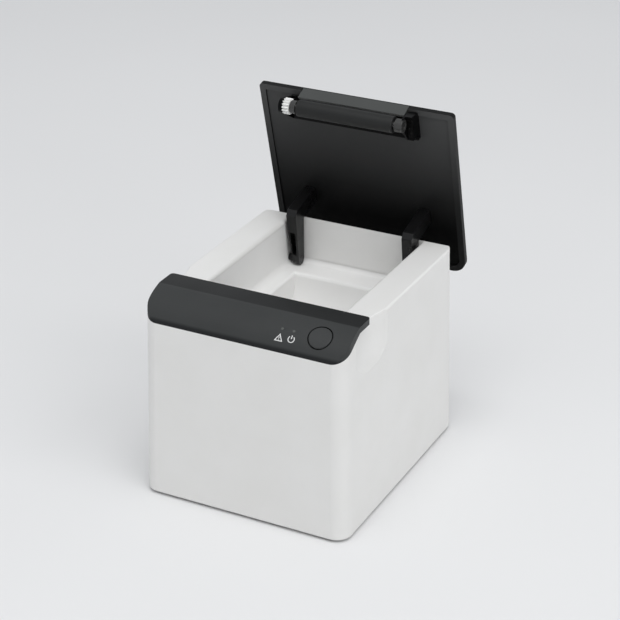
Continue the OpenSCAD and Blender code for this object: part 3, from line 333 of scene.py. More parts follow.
# Each row is the body tone, the shade tone, the gloss range and what differs from the usual moulding
LID_SKIN = {"grain": 900.0, "drift": 25.0, "depth": 0.004, "strength": 0.1, "smears": 0.06}
GEAR_GLOW = {"Subsurface Weight": 0.15, "Subsurface Radius": (0.002, 0.002, 0.0018)}
PLASTICS = {
    "white_plastic": ((0.80, 0.795, 0.78), (0.765, 0.76, 0.74), (0.36, 0.48), {"strength": 0.16}),
    # Lighter copy of the white plastic for the paper bay: painted light on its shaded walls, ledges and fillets
    "bay_painted_light_plastic": ((0.86, 0.856, 0.844), (0.83, 0.826, 0.812), (0.38, 0.5), {"strength": 0.16}),
    "mark_ink": ((0.72, 0.72, 0.71), (0.66, 0.66, 0.65), (0.5, 0.6), {}),
    # Its tone paints shade on the panel's level strip and lower edge
    "panel_plastic": ((0.04, 0.042, 0.042), (0.034, 0.036, 0.036), (0.42, 0.52),
                      {"grain": 3000.0, "shine": 0.25, "tone": panel_painted_shade}),
    "button_plastic": ((0.043, 0.045, 0.045), (0.037, 0.039, 0.039), (0.4, 0.5), {"grain": 3000.0, "shine": 0.25}),
    # The lid and cover tones paint light and shade by height on the lid
    "lid_plastic": ((0.002, 0.0021, 0.0021), (0.0012, 0.0013, 0.0013), (0.36, 0.46),
                    {**LID_SKIN, "shine": 0.05, "tone": lid_painted_light}),
    "cover_plastic": ((0.011, 0.0112, 0.0112), (0.009, 0.0092, 0.0092), (0.36, 0.46),
                      {**LID_SKIN, "shine": 0.1, "tone": cover_painted_light}),
    "black_plastic": ((0.004, 0.004, 0.0042), (0.0065, 0.0065, 0.0067), (0.24, 0.34),
                      {"grain": 2200.0, "shine": 0.36}),
    # Darker, duller copy of the black plastic for the platen bracket: painted shade under the roller
    "bracket_painted_shade_plastic": ((0.003, 0.003, 0.0032), (0.002, 0.002, 0.0022), (0.3, 0.4),
                        {"grain": 2200.0, "shine": 0.08}),
    # Lighter grey than the other black plastics: painted light on the lip's face that looks up when the lid stands
    # open
    "lip_plastic": ((0.054, 0.057, 0.055), (0.045, 0.048, 0.046), (0.34, 0.46), {}),
    "frame_plastic": ((0.035, 0.036, 0.038), (0.028, 0.029, 0.03), (0.4, 0.55), {}),
    "bush_plastic": ((0.042, 0.042, 0.041), (0.034, 0.034, 0.033), (0.22, 0.32), {}),
    "gear_plastic": ((0.87, 0.87, 0.85), (0.82, 0.82, 0.79), (0.3, 0.4), {"strength": 0.1, **GEAR_GLOW}),
    "ivory_plastic": ((0.68, 0.62, 0.48), (0.62, 0.56, 0.42), (0.35, 0.45), {}),
    "clear_plastic": ((0.1, 0.105, 0.1), (0.085, 0.09, 0.085), (0.1, 0.2), {"strength": 0.05}),
    "platen_rubber": ((0.009, 0.0097, 0.0094), (0.007, 0.0075, 0.0073), (0.5, 0.62),
                      {"grain": 1800.0, "drift": 60.0, "depth": 0.03, "strength": 0.35, "shine": 0.4}),
    "foot_rubber": ((0.03, 0.03, 0.031), (0.04, 0.04, 0.04), (0.65, 0.8),
                    {"grain": 1500.0, "depth": 0.04, "strength": 0.4}),
    "capacitor_sleeve": ((0.02, 0.03, 0.09), (0.015, 0.022, 0.07), (0.2, 0.3), {}),
    "head_ceramic": ((0.6, 0.6, 0.57), (0.52, 0.52, 0.49), (0.15, 0.25), {"strength": 0.05}),
}

# Each row is the bright tone, the tarnish, the stretch of the lines and the gloss range
METALS = {
    "screw_steel": ((0.62, 0.62, 0.6), (0.4, 0.4, 0.39), (600.0, 600.0, 90.0), (0.25, 0.42)),
    "shaft_steel": ((0.7, 0.7, 0.69), (0.5, 0.5, 0.5), (40.0, 2500.0, 2500.0), (0.16, 0.3)),
    "motor_steel": ((0.6, 0.6, 0.58), (0.45, 0.45, 0.43), (90.0, 900.0, 900.0), (0.3, 0.45)),
    "sink_aluminium": ((0.72, 0.73, 0.74), (0.58, 0.58, 0.6), (60.0, 1500.0, 1500.0), (0.3, 0.45)),
    "pinion_brass": ((0.75, 0.55, 0.22), (0.5, 0.34, 0.12), (400.0, 400.0, 400.0), (0.2, 0.35)),
}

FINISH = {name: plastic(name, *tones, **options) for name, (*tones, options) in PLASTICS.items()}
FINISH.update({name: metal(name, *row) for name, row in METALS.items()})
FINISH["board_laminate"] = laminate("board_laminate")
FINISH["ribbon_film"] = ribbon("ribbon_film")


# Pieces

MERGE, CASE_MERGE = 2e-6, 1.5e-5
FLAT_ANGLE, SHARP_ANGLE, SMOOTH_ANGLE = 0.8, 35.0, 32.0
ROUND_SEGMENTS = 3


def new_object(name, mesh):
    obj = bpy.data.objects.new(name, mesh)
    scene.collection.objects.link(obj)
    return obj


def mesh_of(bm, name):
    """Turns a mesh under construction into a mesh of its own."""
    mesh = bpy.data.meshes.new(name)
    bm.to_mesh(mesh)
    bm.free()
    return mesh


def dress(piece, body, slot, *replaced, finish=None):
    """Gives a piece its finish, lets it ride on its body, and hides the CAD nodes that it stands for."""
    piece.data.materials.clear()
    piece.data.materials.append(FINISH[finish or slot])
    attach(piece, body)
    if replaced:
        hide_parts(*replaced)
    return piece


def cad_copy(node):
    """Copy of a CAD node's mesh with its triangles joined and its flat faces whole again."""
    bm = bmesh.new()
    bm.from_mesh(NODES[node].data)
    bmesh.ops.remove_doubles(bm, verts=bm.verts, dist=CASE_MERGE if node == "upper_case" else MERGE)
    bmesh.ops.dissolve_limit(
        bm, angle_limit=math.radians(FLAT_ANGLE), verts=bm.verts, edges=bm.edges, use_dissolve_boundaries=False
    )
    bmesh.ops.connect_verts_concave(bm, faces=[f for f in bm.faces if len(f.verts) > 4])
    mesh = mesh_of(bm, node + "_soft")
    for name in [a.name for a in mesh.attributes if a.name.startswith("custom_normal")]:
        mesh.attributes.remove(mesh.attributes[name])
    return mesh


def baked(obj):
    """Turns an object's modifiers into a plain mesh."""
    depsgraph = bpy.context.evaluated_depsgraph_get()
    mesh = bpy.data.meshes.new_from_object(obj.evaluated_get(depsgraph))
    obj.modifiers.clear()
    obj.data = mesh
    return obj


def shaded(piece, angle=SMOOTH_ANGLE):
    """Smooth shading up to an angle, with normals that keep large faces flat."""
    piece.data.shade_smooth()
    piece.data.set_sharp_from_angle(angle=math.radians(angle))
    weighted = piece.modifiers.new("weighted", "WEIGHTED_NORMAL")
    weighted.keep_sharp = True
    return baked(piece)


def weigh_edges(mesh, radius_at):
    """Writes each sharp edge's radius as its bevel weight, and returns the largest radius."""
    bm = bmesh.new()
    bm.from_mesh(mesh)
    layer = bm.edges.layers.float.new("bevel_weight_edge")
    radii = {}
    for edge in bm.edges:
        if len(edge.link_faces) == 2 and edge.calc_face_angle() > math.radians(SHARP_ANGLE):
            radii[edge] = radius_at((edge.verts[0].co + edge.verts[1].co) / 2 / MM)
    largest = max(radii.values())
    for edge, radius in radii.items():
        edge[layer] = radius / largest
    bm.to_mesh(mesh)
    bm.free()
    return largest


def softened(node, radius, slot=None, finish=None, reshape=None):
    """CAD node with its sharp edges rounded: radius is one length, or a function of an edge's middle."""
    piece = new_object(node + "_soft", cad_copy(node))
    by_place = callable(radius)
    bevel = piece.modifiers.new("round", "BEVEL")
    bevel.width = (weigh_edges(piece.data, radius) if by_place else radius) * MM
    bevel.segments = ROUND_SEGMENTS
    bevel.limit_method = "WEIGHT" if by_place else "ANGLE"
    bevel.angle_limit = math.radians(SHARP_ANGLE)
    bevel.miter_outer = "MITER_ARC"
    bevel.use_clamp_overlap = not by_place
    baked(piece)
    if reshape:
        reshape(piece)
    return dress(shaded(piece), BODY_OF[node], slot or SLOT_OF[node], node, finish=finish)


def sliced(piece, planes, wanted=lambda face: True):
    """Cuts a piece's wanted faces along planes of (point, normal), so that they can bend there."""
    bm = bmesh.new()
    bm.from_mesh(piece.data)
    for point, normal in planes:
        faces = [f for f in bm.faces if wanted(f)]
        edges = {e for f in faces for e in f.edges}
        verts = {v for f in faces for v in f.verts}
        bmesh.ops.bisect_plane(
            bm, geom=[*verts, *edges, *faces], dist=1e-6, plane_co=Vector(point) * MM, plane_no=normal
        )
    bmesh.ops.triangulate(bm, faces=[f for f in bm.faces if len(f.verts) > 4])
    bm.to_mesh(piece.data)
    bm.free()


def ring_mesh(name, rings):
    """Closed mesh through rings of points; the first and the last ring are filled."""
    bm = bmesh.new()
    loops = [[bm.verts.new(p) for p in ring] for ring in rings]
    count = len(rings[0])
    for a, b in zip(loops, loops[1:]):
        for j in range(count):
            k = (j + 1) % count
            bm.faces.new((a[j], b[j], b[k], a[k]))
    bm.faces.new(loops[0])
    bm.faces.new(loops[-1])
    bmesh.ops.recalc_face_normals(bm, faces=bm.faces)
    return mesh_of(bm, name)


def circle_points(radius, count, z=0.0):
    return [Vector((radius * math.cos(a), radius * math.sin(a), z))
            for a in (2 * math.pi * j / count for j in range(count))]


def limited(value):
    return min(1.0, max(0.0, value))


def finish_cad_nodes():
    """Gives every CAD node its finish."""
    for name, obj in NODES.items():
        obj.data.materials.clear()
        obj.data.materials.append(FINISH[SLOT_OF[name]])


# Case and paper bay: sizes that the solids have too

HALF_BAY, HALF_TROUGH = 38.0, 29.5
LEDGE_DROP, TROUGH_BACK = 26.7, 18.9
HALF_RIM, DRAFT = 55.0, 2.25 / 105.7
case_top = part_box("upper_case")[1] / MM
rim = case_top.z - 0.1
panel_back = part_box("front_panel")[1].y / MM

# The scoops as in the solids, then the soft bowl: half its length, and the height over which it comes in
SCOOP = {"y": panel_back + 1.2, "length": 34.0, "depth": 3.0, "foot": rim - 17.0, "ramp": 7.0,
         "half_bowl": 20.0, "fall": 17.0}
SIDE_FROM, SIDE_SLACK = 48.0, 0.12
SCOOP_COLUMN, SCOOP_ROW = 2.0, 1.5
RIM_BAND, RIM_FADE = 1.6, 2.5

SCOOP_EDGE, BOTTOM_EDGE, SOCKET_EDGE, TROUGH_EDGE = 0.8, 0.7, 0.3, 1.9
SIDE_FILLET, CORNER_FILLET, BACK_FILLET = 3.5, 3.0, 2.5
FILLET_STEPS, FILLET_SINK, FILLET_SMOOTH = 10, 0.1, 40.0
FILLET_FRONT, CORNER_TOP = panel_back + 22, rim - 3.0


def side_at(y, z, soft):
    """Half width of the case at a place on its sides, with the finger scoop as in CAD or as a soft bowl."""
    s = SCOOP
    flat = HALF_RIM + (rim - z) * DRAFT
    if soft:
        across = max(0.0, 1 - ((y - s["y"]) / s["half_bowl"]) ** 2) ** 2
        down = limited((z - s["foot"] + s["fall"] / 2) / s["fall"])
        return flat - s["depth"] * across * down * down * (3 - 2 * down)
    radius = (s["length"] ** 2 / 4 + s["depth"] ** 2) / (2 * s["depth"])
    lift = max(0.0, s["foot"] - z) * s["depth"] / s["ramp"]
    reach = (radius - lift) ** 2 - (y - s["y"]) ** 2
    return min(flat, HALF_RIM + radius - s["depth"] - math.sqrt(max(0.0, reach)))


def on_side(p):
    """Whether a vertex lies on one of the case's sides, as they are in CAD."""
    x, y, z = p / MM
    return abs(x) > SIDE_FROM and abs(abs(x) - side_at(y, z, False)) < SIDE_SLACK


def soften_scoops(piece):
    """Blends the finger scoops into the case's sides, below the rim's rounding."""
    planes = [((0, SCOOP["y"] + SCOOP_COLUMN * k, 0), (0, 1, 0)) for k in range(-11, 12)]
    planes += [((0, 0, SCOOP["foot"] + SCOOP_ROW * k), (0, 0, 1)) for k in range(-9, 11)]
    sliced(piece, planes, lambda face: all(on_side(v.co) for v in face.verts))
    for vertex in piece.data.vertices:
        if on_side(vertex.co):
            x, y, z = vertex.co / MM
            fade = limited((rim - RIM_BAND - z) / RIM_FADE)
            move = (side_at(y, z, True) - side_at(y, z, False)) * fade
            vertex.co.x += math.copysign(move, x) * MM


def case_radius(p):
    """Small radii at the scoops' upper edges, the bottom and the socket holes."""
    if abs(p.z - rim) < 0.1 and 50 < abs(p.x) < 54 and panel_back + 0.3 < p.y < panel_back + 19:
        return SCOOP_EDGE
    if p.z < 2:
        return BOTTOM_EDGE
    if p.z < 40 and p.y > case_top.y - 2:
        return SOCKET_EDGE
    return 0.0


def bucket_radius(p):
    """Soft edges where the ledges run down into the paper trough."""
    level = abs(p.z - rim + LEDGE_DROP) < 0.2
    at_trough = abs(abs(p.x) - HALF_TROUGH) < 0.3 or abs(p.y - (case_top.y - TROUGH_BACK)) < 4
    return TROUGH_EDGE if level and at_trough else 0.0


def fillet(name, corner, along, u, v, radius, length):
    """Concave strip in the corner between two walls: u and v point from the corner along the walls."""
    corner, along, u, v = (Vector(c) for c in (corner, along, u, v))
    arc = [corner + u * radius * (1 - math.sin(a)) + v * radius * (1 - math.cos(a))
           for a in (math.radians(90 / FILLET_STEPS * k) for k in range(FILLET_STEPS + 1))]
    section = [corner - (u + v) * FILLET_SINK, arc[0] - v * FILLET_SINK, *arc, arc[-1] - u * FILLET_SINK]
    rings = [[(p + along * at) * MM for p in section] for at in (0.0, length)]
    piece = shaded(new_object(name, ring_mesh(name, rings)), FILLET_SMOOTH)
    # The fillets take the bay's lighter copy of the white plastic: painted light
    dress(piece, "body", "white_plastic", finish="bay_painted_light_plastic")


def make_fillets():
    """Soft corners where the bay's walls stand on its ledges and on each other."""
    back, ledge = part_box("paper_bucket")[1].y / MM, rim - LEDGE_DROP
    for side, name in ((-1, "left"), (1, "right")):
        fillet("bay_fillet_" + name, (side * HALF_BAY, FILLET_FRONT, ledge), (0, 1, 0), (-side, 0, 0), (0, 0, 1),
               SIDE_FILLET, back - FILLET_FRONT)
        fillet("bay_corner_" + name, (side * HALF_BAY, back, ledge), (0, 0, 1), (-side, 0, 0), (0, -1, 0),
               CORNER_FILLET, CORNER_TOP - ledge)
    fillet("bay_fillet_back", (-HALF_BAY, back, ledge), (1, 0, 0), (0, -1, 0), (0, 0, 1), BACK_FILLET, 2 * HALF_BAY)


# Lid pieces

NOSE_REACH, NOSE_MOVE = 6.0, (0.0, 0.44, 0.79)
ARM_MIDDLE, ARM_HALF, ARM_TAPER, TAPER_HEIGHT = 33.7, 2.9, 2.0, 20


def trim_nose(piece):
    """Draws the lip's nose back from the platen, so that the gap between them shows."""
    low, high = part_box("platen_roller")
    y, z = (low.y + high.y) / 2, (low.z + high.z) / 2
    for vertex in piece.data.vertices:
        if math.hypot(vertex.co.y - y, vertex.co.z - z) < NOSE_REACH * MM:
            vertex.co += Vector(NOSE_MOVE) * MM


def taper_arm(piece):
    """Draws the arm's outer side in towards the hinge pin."""
    low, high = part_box("hinge_pins")
    foot = (low.z + high.z) / 2 / MM
    sliced(piece, [((0, 0, foot + height), (0, 0, 1)) for height in range(0, TAPER_HEIGHT + 1, 5)])
    for vertex in piece.data.vertices:
        x, z = vertex.co.x / MM, vertex.co.z / MM
        share = limited((foot + TAPER_HEIGHT - z) / TAPER_HEIGHT)
        outer = limited((abs(x) - ARM_MIDDLE) / ARM_HALF)
        vertex.co.x -= math.copysign(ARM_TAPER * share * outer * MM, x)


EDGE_RADIUS = {
    "front_panel": 0.35, "lid_liner": 0.15, "platen_roller": 0.4, "platen_gear": 0.08, "platen_shaft": 0.2,
    "platen_bushes": 0.2, "print_frame": 0.3, "base_cover": 0.4, "power_switch": 0.3, "power_rocker": 0.4,
    "usb_socket": 0.2, "drawer_socket": 0.2, "power_socket": 0.2, "base_screws": 0.12, "print_head": 0.1,
    "head_heatsink": 0.2, "stepper_motor": 0.5,
}


def make_soft_copies():
    """Pieces that stand for CAD nodes, with rounded edges and a few soft forms."""
    for node, radius in EDGE_RADIUS.items():
        softened(node, radius)
    softened("upper_case", case_radius, reshape=soften_scoops)
    # The bay takes a lighter copy of the white plastic: painted light on its shaded walls
    softened("paper_bucket", bucket_radius, finish="bay_painted_light_plastic")
    softened("lid_cover", 0.5, finish="cover_plastic")
    softened("hinge_pins", 0.2, slot="black_plastic")
    # The bracket takes a darker, duller copy of the black plastic: painted shade under the roller
    softened("platen_bracket", 0.4, finish="bracket_painted_shade_plastic")
    for node in ("hinge_arm_left", "hinge_arm_right"):
        softened(node, 0.5, reshape=taper_arm)
    softened("exit_lip", 0.3, reshape=trim_nose)


# Pieces drawn on the panel's curve

FACE_STEPS = 400
STRIP_DEPTH, STRIP_SINK = 11.8, 0.1
FACE_DROP = 13.3
CROWN_IN, CROWN_DROP = 4.6, 3.5


class PanelFace:
    """The panel's curved face in the Y-Z plane, with the distance s along it from the level strip."""

    def __init__(self):
        low, high = (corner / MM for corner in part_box("front_panel"))
        strip = Vector((high.y - STRIP_DEPTH, high.z - STRIP_SINK))
        foot = Vector((low.y, high.z - FACE_DROP))
        crown = Vector((low.y + CROWN_IN, high.z - CROWN_DROP))
        self.rows = []
        s, before = 0.0, strip
        for i in range(FACE_STEPS + 1):
            t = i / FACE_STEPS
            point = (1 - t) ** 2 * strip + 2 * t * (1 - t) * crown + t * t * foot
            slope = ((1 - t) * (crown - strip) + t * (foot - crown)).normalized()
            s += (point - before).length
            before = point
            self.rows.append((s, point, Vector((slope.y, -slope.x))))

    def at_height(self, z):
        """Distance along the face at a height."""
        return min(self.rows, key=lambda row: abs(row[1].y - z))[0]

    def place(self, x, s, out):
        """Point in metres at x, at s along the face and out above it."""
        _, point, normal = min(self.rows, key=lambda row: abs(row[0] - s))
        at = point + normal * out
        return Vector((x, at.x, at.y)) * MM


FACE = PanelFace()
BUTTON = {"x": 39.0, "share": 0.45, "radius": 5.8, "round": 0.5, "proud": 0.3, "flange": -3.4, "stem": -5.0,
          "flange_radius": 7.0, "flange_height": 1, "stem_radius": 2.2, "middle": 0.4, "sides": 72}

MARK_LINE, MARK_FINE, MARK_STEP = 0.46, 0.42, 0.5
MARK_SINK, MARK_LIFT = -0.05, 0.04
ALERT_X, ALERT_HEIGHT = 19.0, 102.98
POWER_X, POWER_HEIGHT, POWER_RADIUS = 25.3, 103.35, 1.6


def make_button():
    """Feed button: its crown follows the panel's curve, and its rounded edge leaves a dark ring round it."""
    b = BUTTON
    _, middle, out = FACE.rows[round(b["share"] * FACE_STEPS)]
    up = Vector((out.y, -out.x))
    profile = sorted(((point - middle).dot(up), (point - middle).dot(out)) for _, point, _ in FACE.rows)

    def crown(v):
        return min(profile, key=lambda row: abs(row[0] - v))[1]

    flat, under = b["radius"] - b["round"], b["flange"] - b["flange_height"]
    tops = [(r, 0.0) for r in (b["middle"], 1.2, 2.2, 3.2, 4.2, flat)]
    tops += [(flat + b["round"] * math.sin(a), b["round"] * (1 - math.cos(a)))
             for a in (math.radians(18 * k) for k in range(1, 6))]
    rings = [[Vector((p.x, p.y, crown(p.y) + b["proud"] - drop)) for p in circle_points(r, b["sides"])]
             for r, drop in tops]
    rings += [circle_points(r, b["sides"], z) for r, z in (
        (b["radius"], b["flange"]), (b["flange_radius"], b["flange"]), (b["flange_radius"], under),
        (b["stem_radius"], under), (b["stem_radius"], b["stem"]), (b["middle"], b["stem"])
    )]
    placed = [[(Vector((b["x"] + p.x, *(middle + up * p.y + out * p.z)))) * MM for p in ring] for ring in rings]
    piece = shaded(new_object("feed_button_soft", ring_mesh("feed_button_soft", placed)))
    dress(piece, BODY_OF["feed_button"], "button_plastic", "feed_button")


def stroke(bm, points, width, centre, closed=False):
    """Thin raised band along a path of (u, v) points on the panel, round the point (x, s)."""
    path = [Vector(p) for p in points]
    fine = []
    for a, b in zip(path, path[1:] + path[:1] if closed else path[1:]):
        steps = max(1, round((b - a).length / MARK_STEP))
        fine += [a.lerp(b, i / steps) for i in range(steps)]
    if not closed:
        fine.append(path[-1])
    rings = []
    for i, p in enumerate(fine):
        before = fine[i - 1] if closed or i else p
        after = fine[(i + 1) % len(fine)] if closed or i < len(fine) - 1 else p
        turn_in = (p - before).normalized() if (p - before).length else (after - p).normalized()
        turn_out = (after - p).normalized() if (after - p).length else turn_in
        along = (turn_in + turn_out).normalized()
        across = Vector((-along.y, along.x)) * width / 2 / max(0.5, along.dot(turn_out))
        corners = ((p - across, MARK_SINK), (p - across, MARK_LIFT), (p + across, MARK_LIFT), (p + across, MARK_SINK))
        rings.append([bm.verts.new(FACE.place(centre[0] + q.x, centre[1] - q.y, out)) for q, out in corners])
    for i in range(len(rings) if closed else len(rings) - 1):
        a, b = rings[i], rings[(i + 1) % len(rings)]
        for j in range(4):
            bm.faces.new((a[j], b[j], b[(j + 1) % 4], a[(j + 1) % 4]))
    if not closed:
        bm.faces.new(rings[0])
        bm.faces.new(rings[-1])


def make_marks():
    """Printed marks below the lights: a general alert triangle and a power sign."""
    bm = bmesh.new()
    alert = (ALERT_X, FACE.at_height(ALERT_HEIGHT))
    stroke(bm, [(-1.85, -1.45), (1.85, -1.45), (0.0, 1.75)], MARK_LINE, alert, True)
    stroke(bm, [(0.0, 0.55), (0.0, -0.35)], MARK_FINE, alert)
    stroke(bm, [(0.0, -0.65), (0.0, -0.95)], MARK_FINE, alert)
    power = (POWER_X, FACE.at_height(POWER_HEIGHT))
    turns = [math.radians(130 + 14 * k) for k in range(21)]
    stroke(bm, [Vector((math.cos(a), math.sin(a))) * POWER_RADIUS for a in turns], MARK_LINE, power)
    stroke(bm, [(0.0, 0.1), (0.0, 2.0)], MARK_LINE, power)
    bmesh.ops.recalc_face_normals(bm, faces=bm.faces)
    dress(new_object("panel_marks", mesh_of(bm, "panel_marks")), "body", "white_plastic", finish="mark_ink")


# Pieces grown by geometry nodes

GROWN = [("Geometry", "Geometry", None)]


def finish_tree(tree, points, instance, material, out):
    """Ends a tree: an instance on each point, made real, with its material."""
    placed = add(tree, "GeometryNodeInstanceOnPoints", [("Points", points), ("Instance", instance)])
    real = add(tree, "GeometryNodeRealizeInstances", [("Geometry", placed.outputs[0])])
    dressed = add(tree, "GeometryNodeSetMaterial", [("Geometry", real.outputs[0]), ("Material", material)])
    tree.links.new(dressed.outputs[0], out[0])
    return tree


def coil_tree():
    """Coil springs: a wire swept along a spiral, repeated along a line."""
    tree, given, out = new_group("coil_springs", "GeometryNodeTree", [
        ("Radius", "Float", 1.75 * MM), ("Wire", "Float", 0.25 * MM), ("Turns", "Float", 6.0),
        ("Length", "Float", 4.0 * MM), ("Count", "Int", 2), ("Start", "Vector", None), ("Step", "Vector", None),
        ("Material", "Material", None),
    ], GROWN)
    path = add(tree, "GeometryNodeCurveSpiral", [
        ("Resolution", 32), ("Rotations", given["Turns"]), ("Start Radius", given["Radius"]),
        ("End Radius", given["Radius"]), ("Height", given["Length"])
    ])
    wire = add(tree, "GeometryNodeCurvePrimitiveCircle", [("Resolution", 12), ("Radius", given["Wire"])])
    swept = add(tree, "GeometryNodeCurveToMesh", [
        ("Curve", path.outputs[0]), ("Profile Curve", wire.outputs[0]), ("Fill Caps", True)
    ])
    laid = add(tree, "GeometryNodeTransform", [
        ("Geometry", swept.outputs[0]), ("Rotation", (math.radians(-90), 0.0, 0.0))
    ])
    line = add(tree, "GeometryNodeMeshLine", [
        ("Count", given["Count"]), ("Start Location", given["Start"]), ("Offset", given["Step"])
    ])
    return finish_tree(tree, line.outputs[0], laid.outputs[0], given["Material"], out)


def grid_tree():
    """A pattern repeated along a line of lines."""
    tree, given, out = new_group("repeated", "GeometryNodeTree", [
        ("Pattern", "Object", None), ("Start", "Vector", None), ("Count A", "Int", 2), ("Step A", "Vector", None),
        ("Count B", "Int", 1), ("Step B", "Vector", None), ("Material", "Material", None),
    ], GROWN)
    pattern = add(tree, "GeometryNodeObjectInfo", [("Object", given["Pattern"])]).outputs["Geometry"]
    first = add(tree, "GeometryNodeMeshLine", [
        ("Count", given["Count A"]), ("Start Location", given["Start"]), ("Offset", given["Step A"])
    ])
    second = add(tree, "GeometryNodeMeshLine", [("Count", given["Count B"]), ("Offset", given["Step B"])])
    lines = add(tree, "GeometryNodeInstanceOnPoints", [
        ("Points", first.outputs[0]), ("Instance", second.outputs[0])
    ])
    points = add(tree, "GeometryNodeRealizeInstances", [("Geometry", lines.outputs[0])])
    return finish_tree(tree, points.outputs[0], pattern, given["Material"], out)


REPEATED = grid_tree()


def grown(name, tree, values):
    """Plain mesh made by a tree whose named inputs are set first."""
    piece = new_object(name, bpy.data.meshes.new(name))
    modifier = piece.modifiers.new("grow", "NODES")
    modifier.node_group = tree
    for item in tree.interface.items_tree:
        if item.in_out == "INPUT" and item.name in values:
            modifier[item.identifier] = values[item.name]
    return baked(piece)


def repeated(name, pattern, body, slot, start, count, step, *replaced, rows=1, row_step=(0.0, 0.0, 0.0)):
    """Grows a row, or rows, of a pattern mesh, and dresses it as one piece."""
    holder = new_object(name + "_pattern", pattern)
    piece = grown(name, REPEATED, {
        "Pattern": holder, "Start": [c * MM for c in start], "Count A": count, "Step A": [c * MM for c in step],
        "Count B": rows, "Step B": [c * MM for c in row_step], "Material": FINISH[slot],
    })
    bpy.data.objects.remove(holder)
    return dress(shaded(piece), body, slot, *replaced)


SPRING_WIRE, SPRING_TURNS = 0.25, 6.0
FOOT_RADIUS, FOOT_MIDDLE, FOOT_SIDES = 5.0, 0.3, 48
GROOVES, GROOVE_DEPTH = ((1.6, 1.75, 2.15, 2.3), (3.2, 3.35, 3.75, 3.9)), 0.35


def make_springs():
    """The two coils behind the print head, grown at one length; the real ones shorten as it rocks."""
    low, high = (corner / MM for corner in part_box("head_springs"))
    wire, radius = SPRING_WIRE, (high.z - low.z) / 2
    start = (low.x + radius, low.y + wire, (low.z + high.z) / 2)
    piece = grown("head_coils", coil_tree(), {
        "Radius": (radius - wire) * MM, "Wire": wire * MM, "Turns": SPRING_TURNS,
        "Length": (high.y - low.y - 2 * wire) * MM, "Count": 2, "Start": [c * MM for c in start],
        "Step": [(high.x - low.x - 2 * radius) * MM, 0.0, 0.0], "Material": FINISH["shaft_steel"],
    })
    dress(shaded(piece), BODY_OF["head_springs"], SLOT_OF["head_springs"], "head_springs")
    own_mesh(piece)


def make_feet():
    """Rubber feet with two grooves round the tread."""
    low, high = (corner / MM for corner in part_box("rubber_feet"))
    r, h = FOOT_RADIUS, high.z - low.z
    profile = [(FOOT_MIDDLE, 0.0)]
    for groove in GROOVES:
        profile += zip(groove, (0.0, GROOVE_DEPTH, GROOVE_DEPTH, 0.0))
    profile += [(r - 0.5, 0.0), (r - 0.15, 0.15), (r, 0.5), (r, h), (FOOT_MIDDLE, h)]
    foot = ring_mesh("foot", [[p * MM for p in circle_points(a, FOOT_SIDES, z)] for a, z in profile])
    repeated("rubber_feet_soft", foot, BODY_OF["rubber_feet"], "foot_rubber", (low.x + r, low.y + r, low.z),
             2, (high.x - low.x - 2 * r, 0.0, 0.0), "rubber_feet", rows=2, row_step=(0.0, high.y - low.y - 2 * r, 0.0))


# Each row is the piece, its socket, the first contact's x and z, their count and pitch, a contact's width and
# thickness, and its path as (y, z) points from the socket's face
CONTACTS = (
    ("usb_contact", "usb_socket", (-26.0, 17.9), (4, 1.33), (0.8, 0.12),
     [(-7.5, 0), (-7.3, 0), (-2.4, 0), (-2.1, 0.02)]),
    ("drawer_contact", "drawer_socket", (-9.675, 13.65), (6, 1.27), (0.5, 0.25),
     [(-1.6, 0), (-1.9, 0), (-3.4, 0.1), (-4.6, 0.5), (-7.5, 1.7), (-8.8, 2.2), (-9.2, 2.2), (-9.5, 2.0)]),
)
END_WIDTH, END_THICK = 0.5, 0.6


def strip_mesh(name, path, width, thick):
    """Flat strip of metal bent along a path of (y, z) points, with narrowed ends."""
    rings = []
    for i, (y, z) in enumerate(path):
        end = i in (0, len(path) - 1)
        half = width / 2 * (END_WIDTH if end else 1.0)
        t = thick * (END_THICK if end else 1.0)
        rings.append([Vector(p) * MM for p in ((-half, y, z), (half, y, z), (half, y, z + t), (-half, y, z + t))])
    return ring_mesh(name, rings)


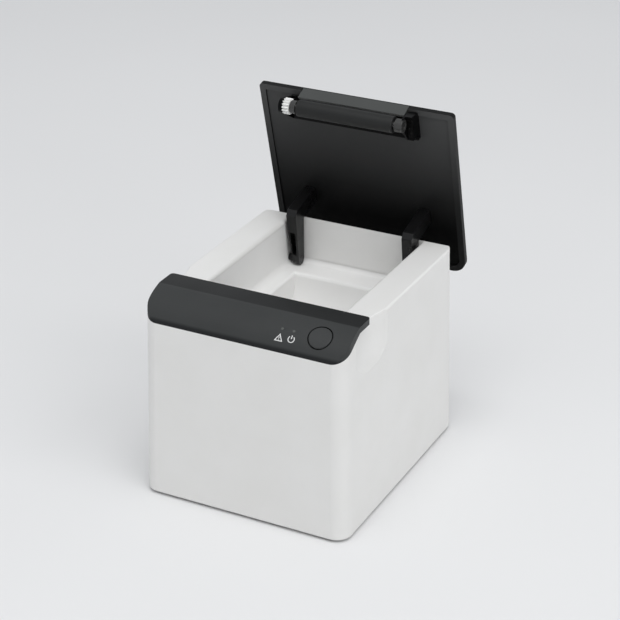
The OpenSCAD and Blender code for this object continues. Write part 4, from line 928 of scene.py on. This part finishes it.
def make_contacts():
    """Contacts of the data socket, under its tongue, and of the drawer socket, along its floor."""
    for name, socket, (x, z), (count, pitch), (width, thick), path in CONTACTS:
        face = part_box(socket)[1].y / MM
        strip = strip_mesh(name, path, width, thick)
        repeated(name + "s", strip, "body", "pinion_brass", (x, face, z), count, (pitch, 0.0, 0.0))


# Stage, in metres

FLOOR_HALF = 6
FLOOR_TONES = (0.80, 0.80, 0.80), (0.78, 0.78, 0.78)
SKY_COLOUR, SKY_STRENGTH = (0.9, 0.92, 0.95), 0.6
LAMP_AIM = (0, 0, 0.1)
LAMPS = (
    # name, place, side and power
    ("key", (1.5, -0.45, 1.45), 1.4, 11.0),
    ("top", (0.2, -0.6, 1.9), 1.2, 14.0),
    ("left", (-1.4, -0.9, 1.0), 1.2, 0.8),
)


def make_floor():
    bm = bmesh.new()
    bmesh.ops.create_grid(bm, x_segments=1, y_segments=1, size=FLOOR_HALF)
    floor = new_object("floor", mesh_of(bm, "floor"))
    material, tree, shader, coord = new_material("pale_floor", Roughness=0.9)
    tone = spread(tree, noise(tree, coord, 3.0, 2.0), 0.3, 0.7)
    tree.links.new(mixed(tree, tone, *(colour(*c) for c in FLOOR_TONES)), shader.inputs["Base Color"])
    floor.data.materials.append(material)


def make_light():
    world = bpy.data.worlds.new("studio")
    scene.world = world
    world.use_nodes = True
    background = world.node_tree.nodes["Background"]
    background.inputs["Color"].default_value = colour(*SKY_COLOUR)
    background.inputs["Strength"].default_value = SKY_STRENGTH
    for name, place, size, power in LAMPS:
        data = bpy.data.lights.new(name, "AREA")
        data.shape = "SQUARE"
        data.size = size
        data.energy = power
        lamp = bpy.data.objects.new(name, data)
        scene.collection.objects.link(lamp)
        lamp.location = place
        lamp.rotation_euler = (Vector(LAMP_AIM) - Vector(place)).to_track_quat("-Z", "Y").to_euler()
    scene.view_settings.view_transform = "Standard"


set_camera()
finish_cad_nodes()
make_soft_copies()
make_fillets()
make_button()
make_marks()
make_springs()
make_feet()
make_contacts()
make_floor()
make_light()
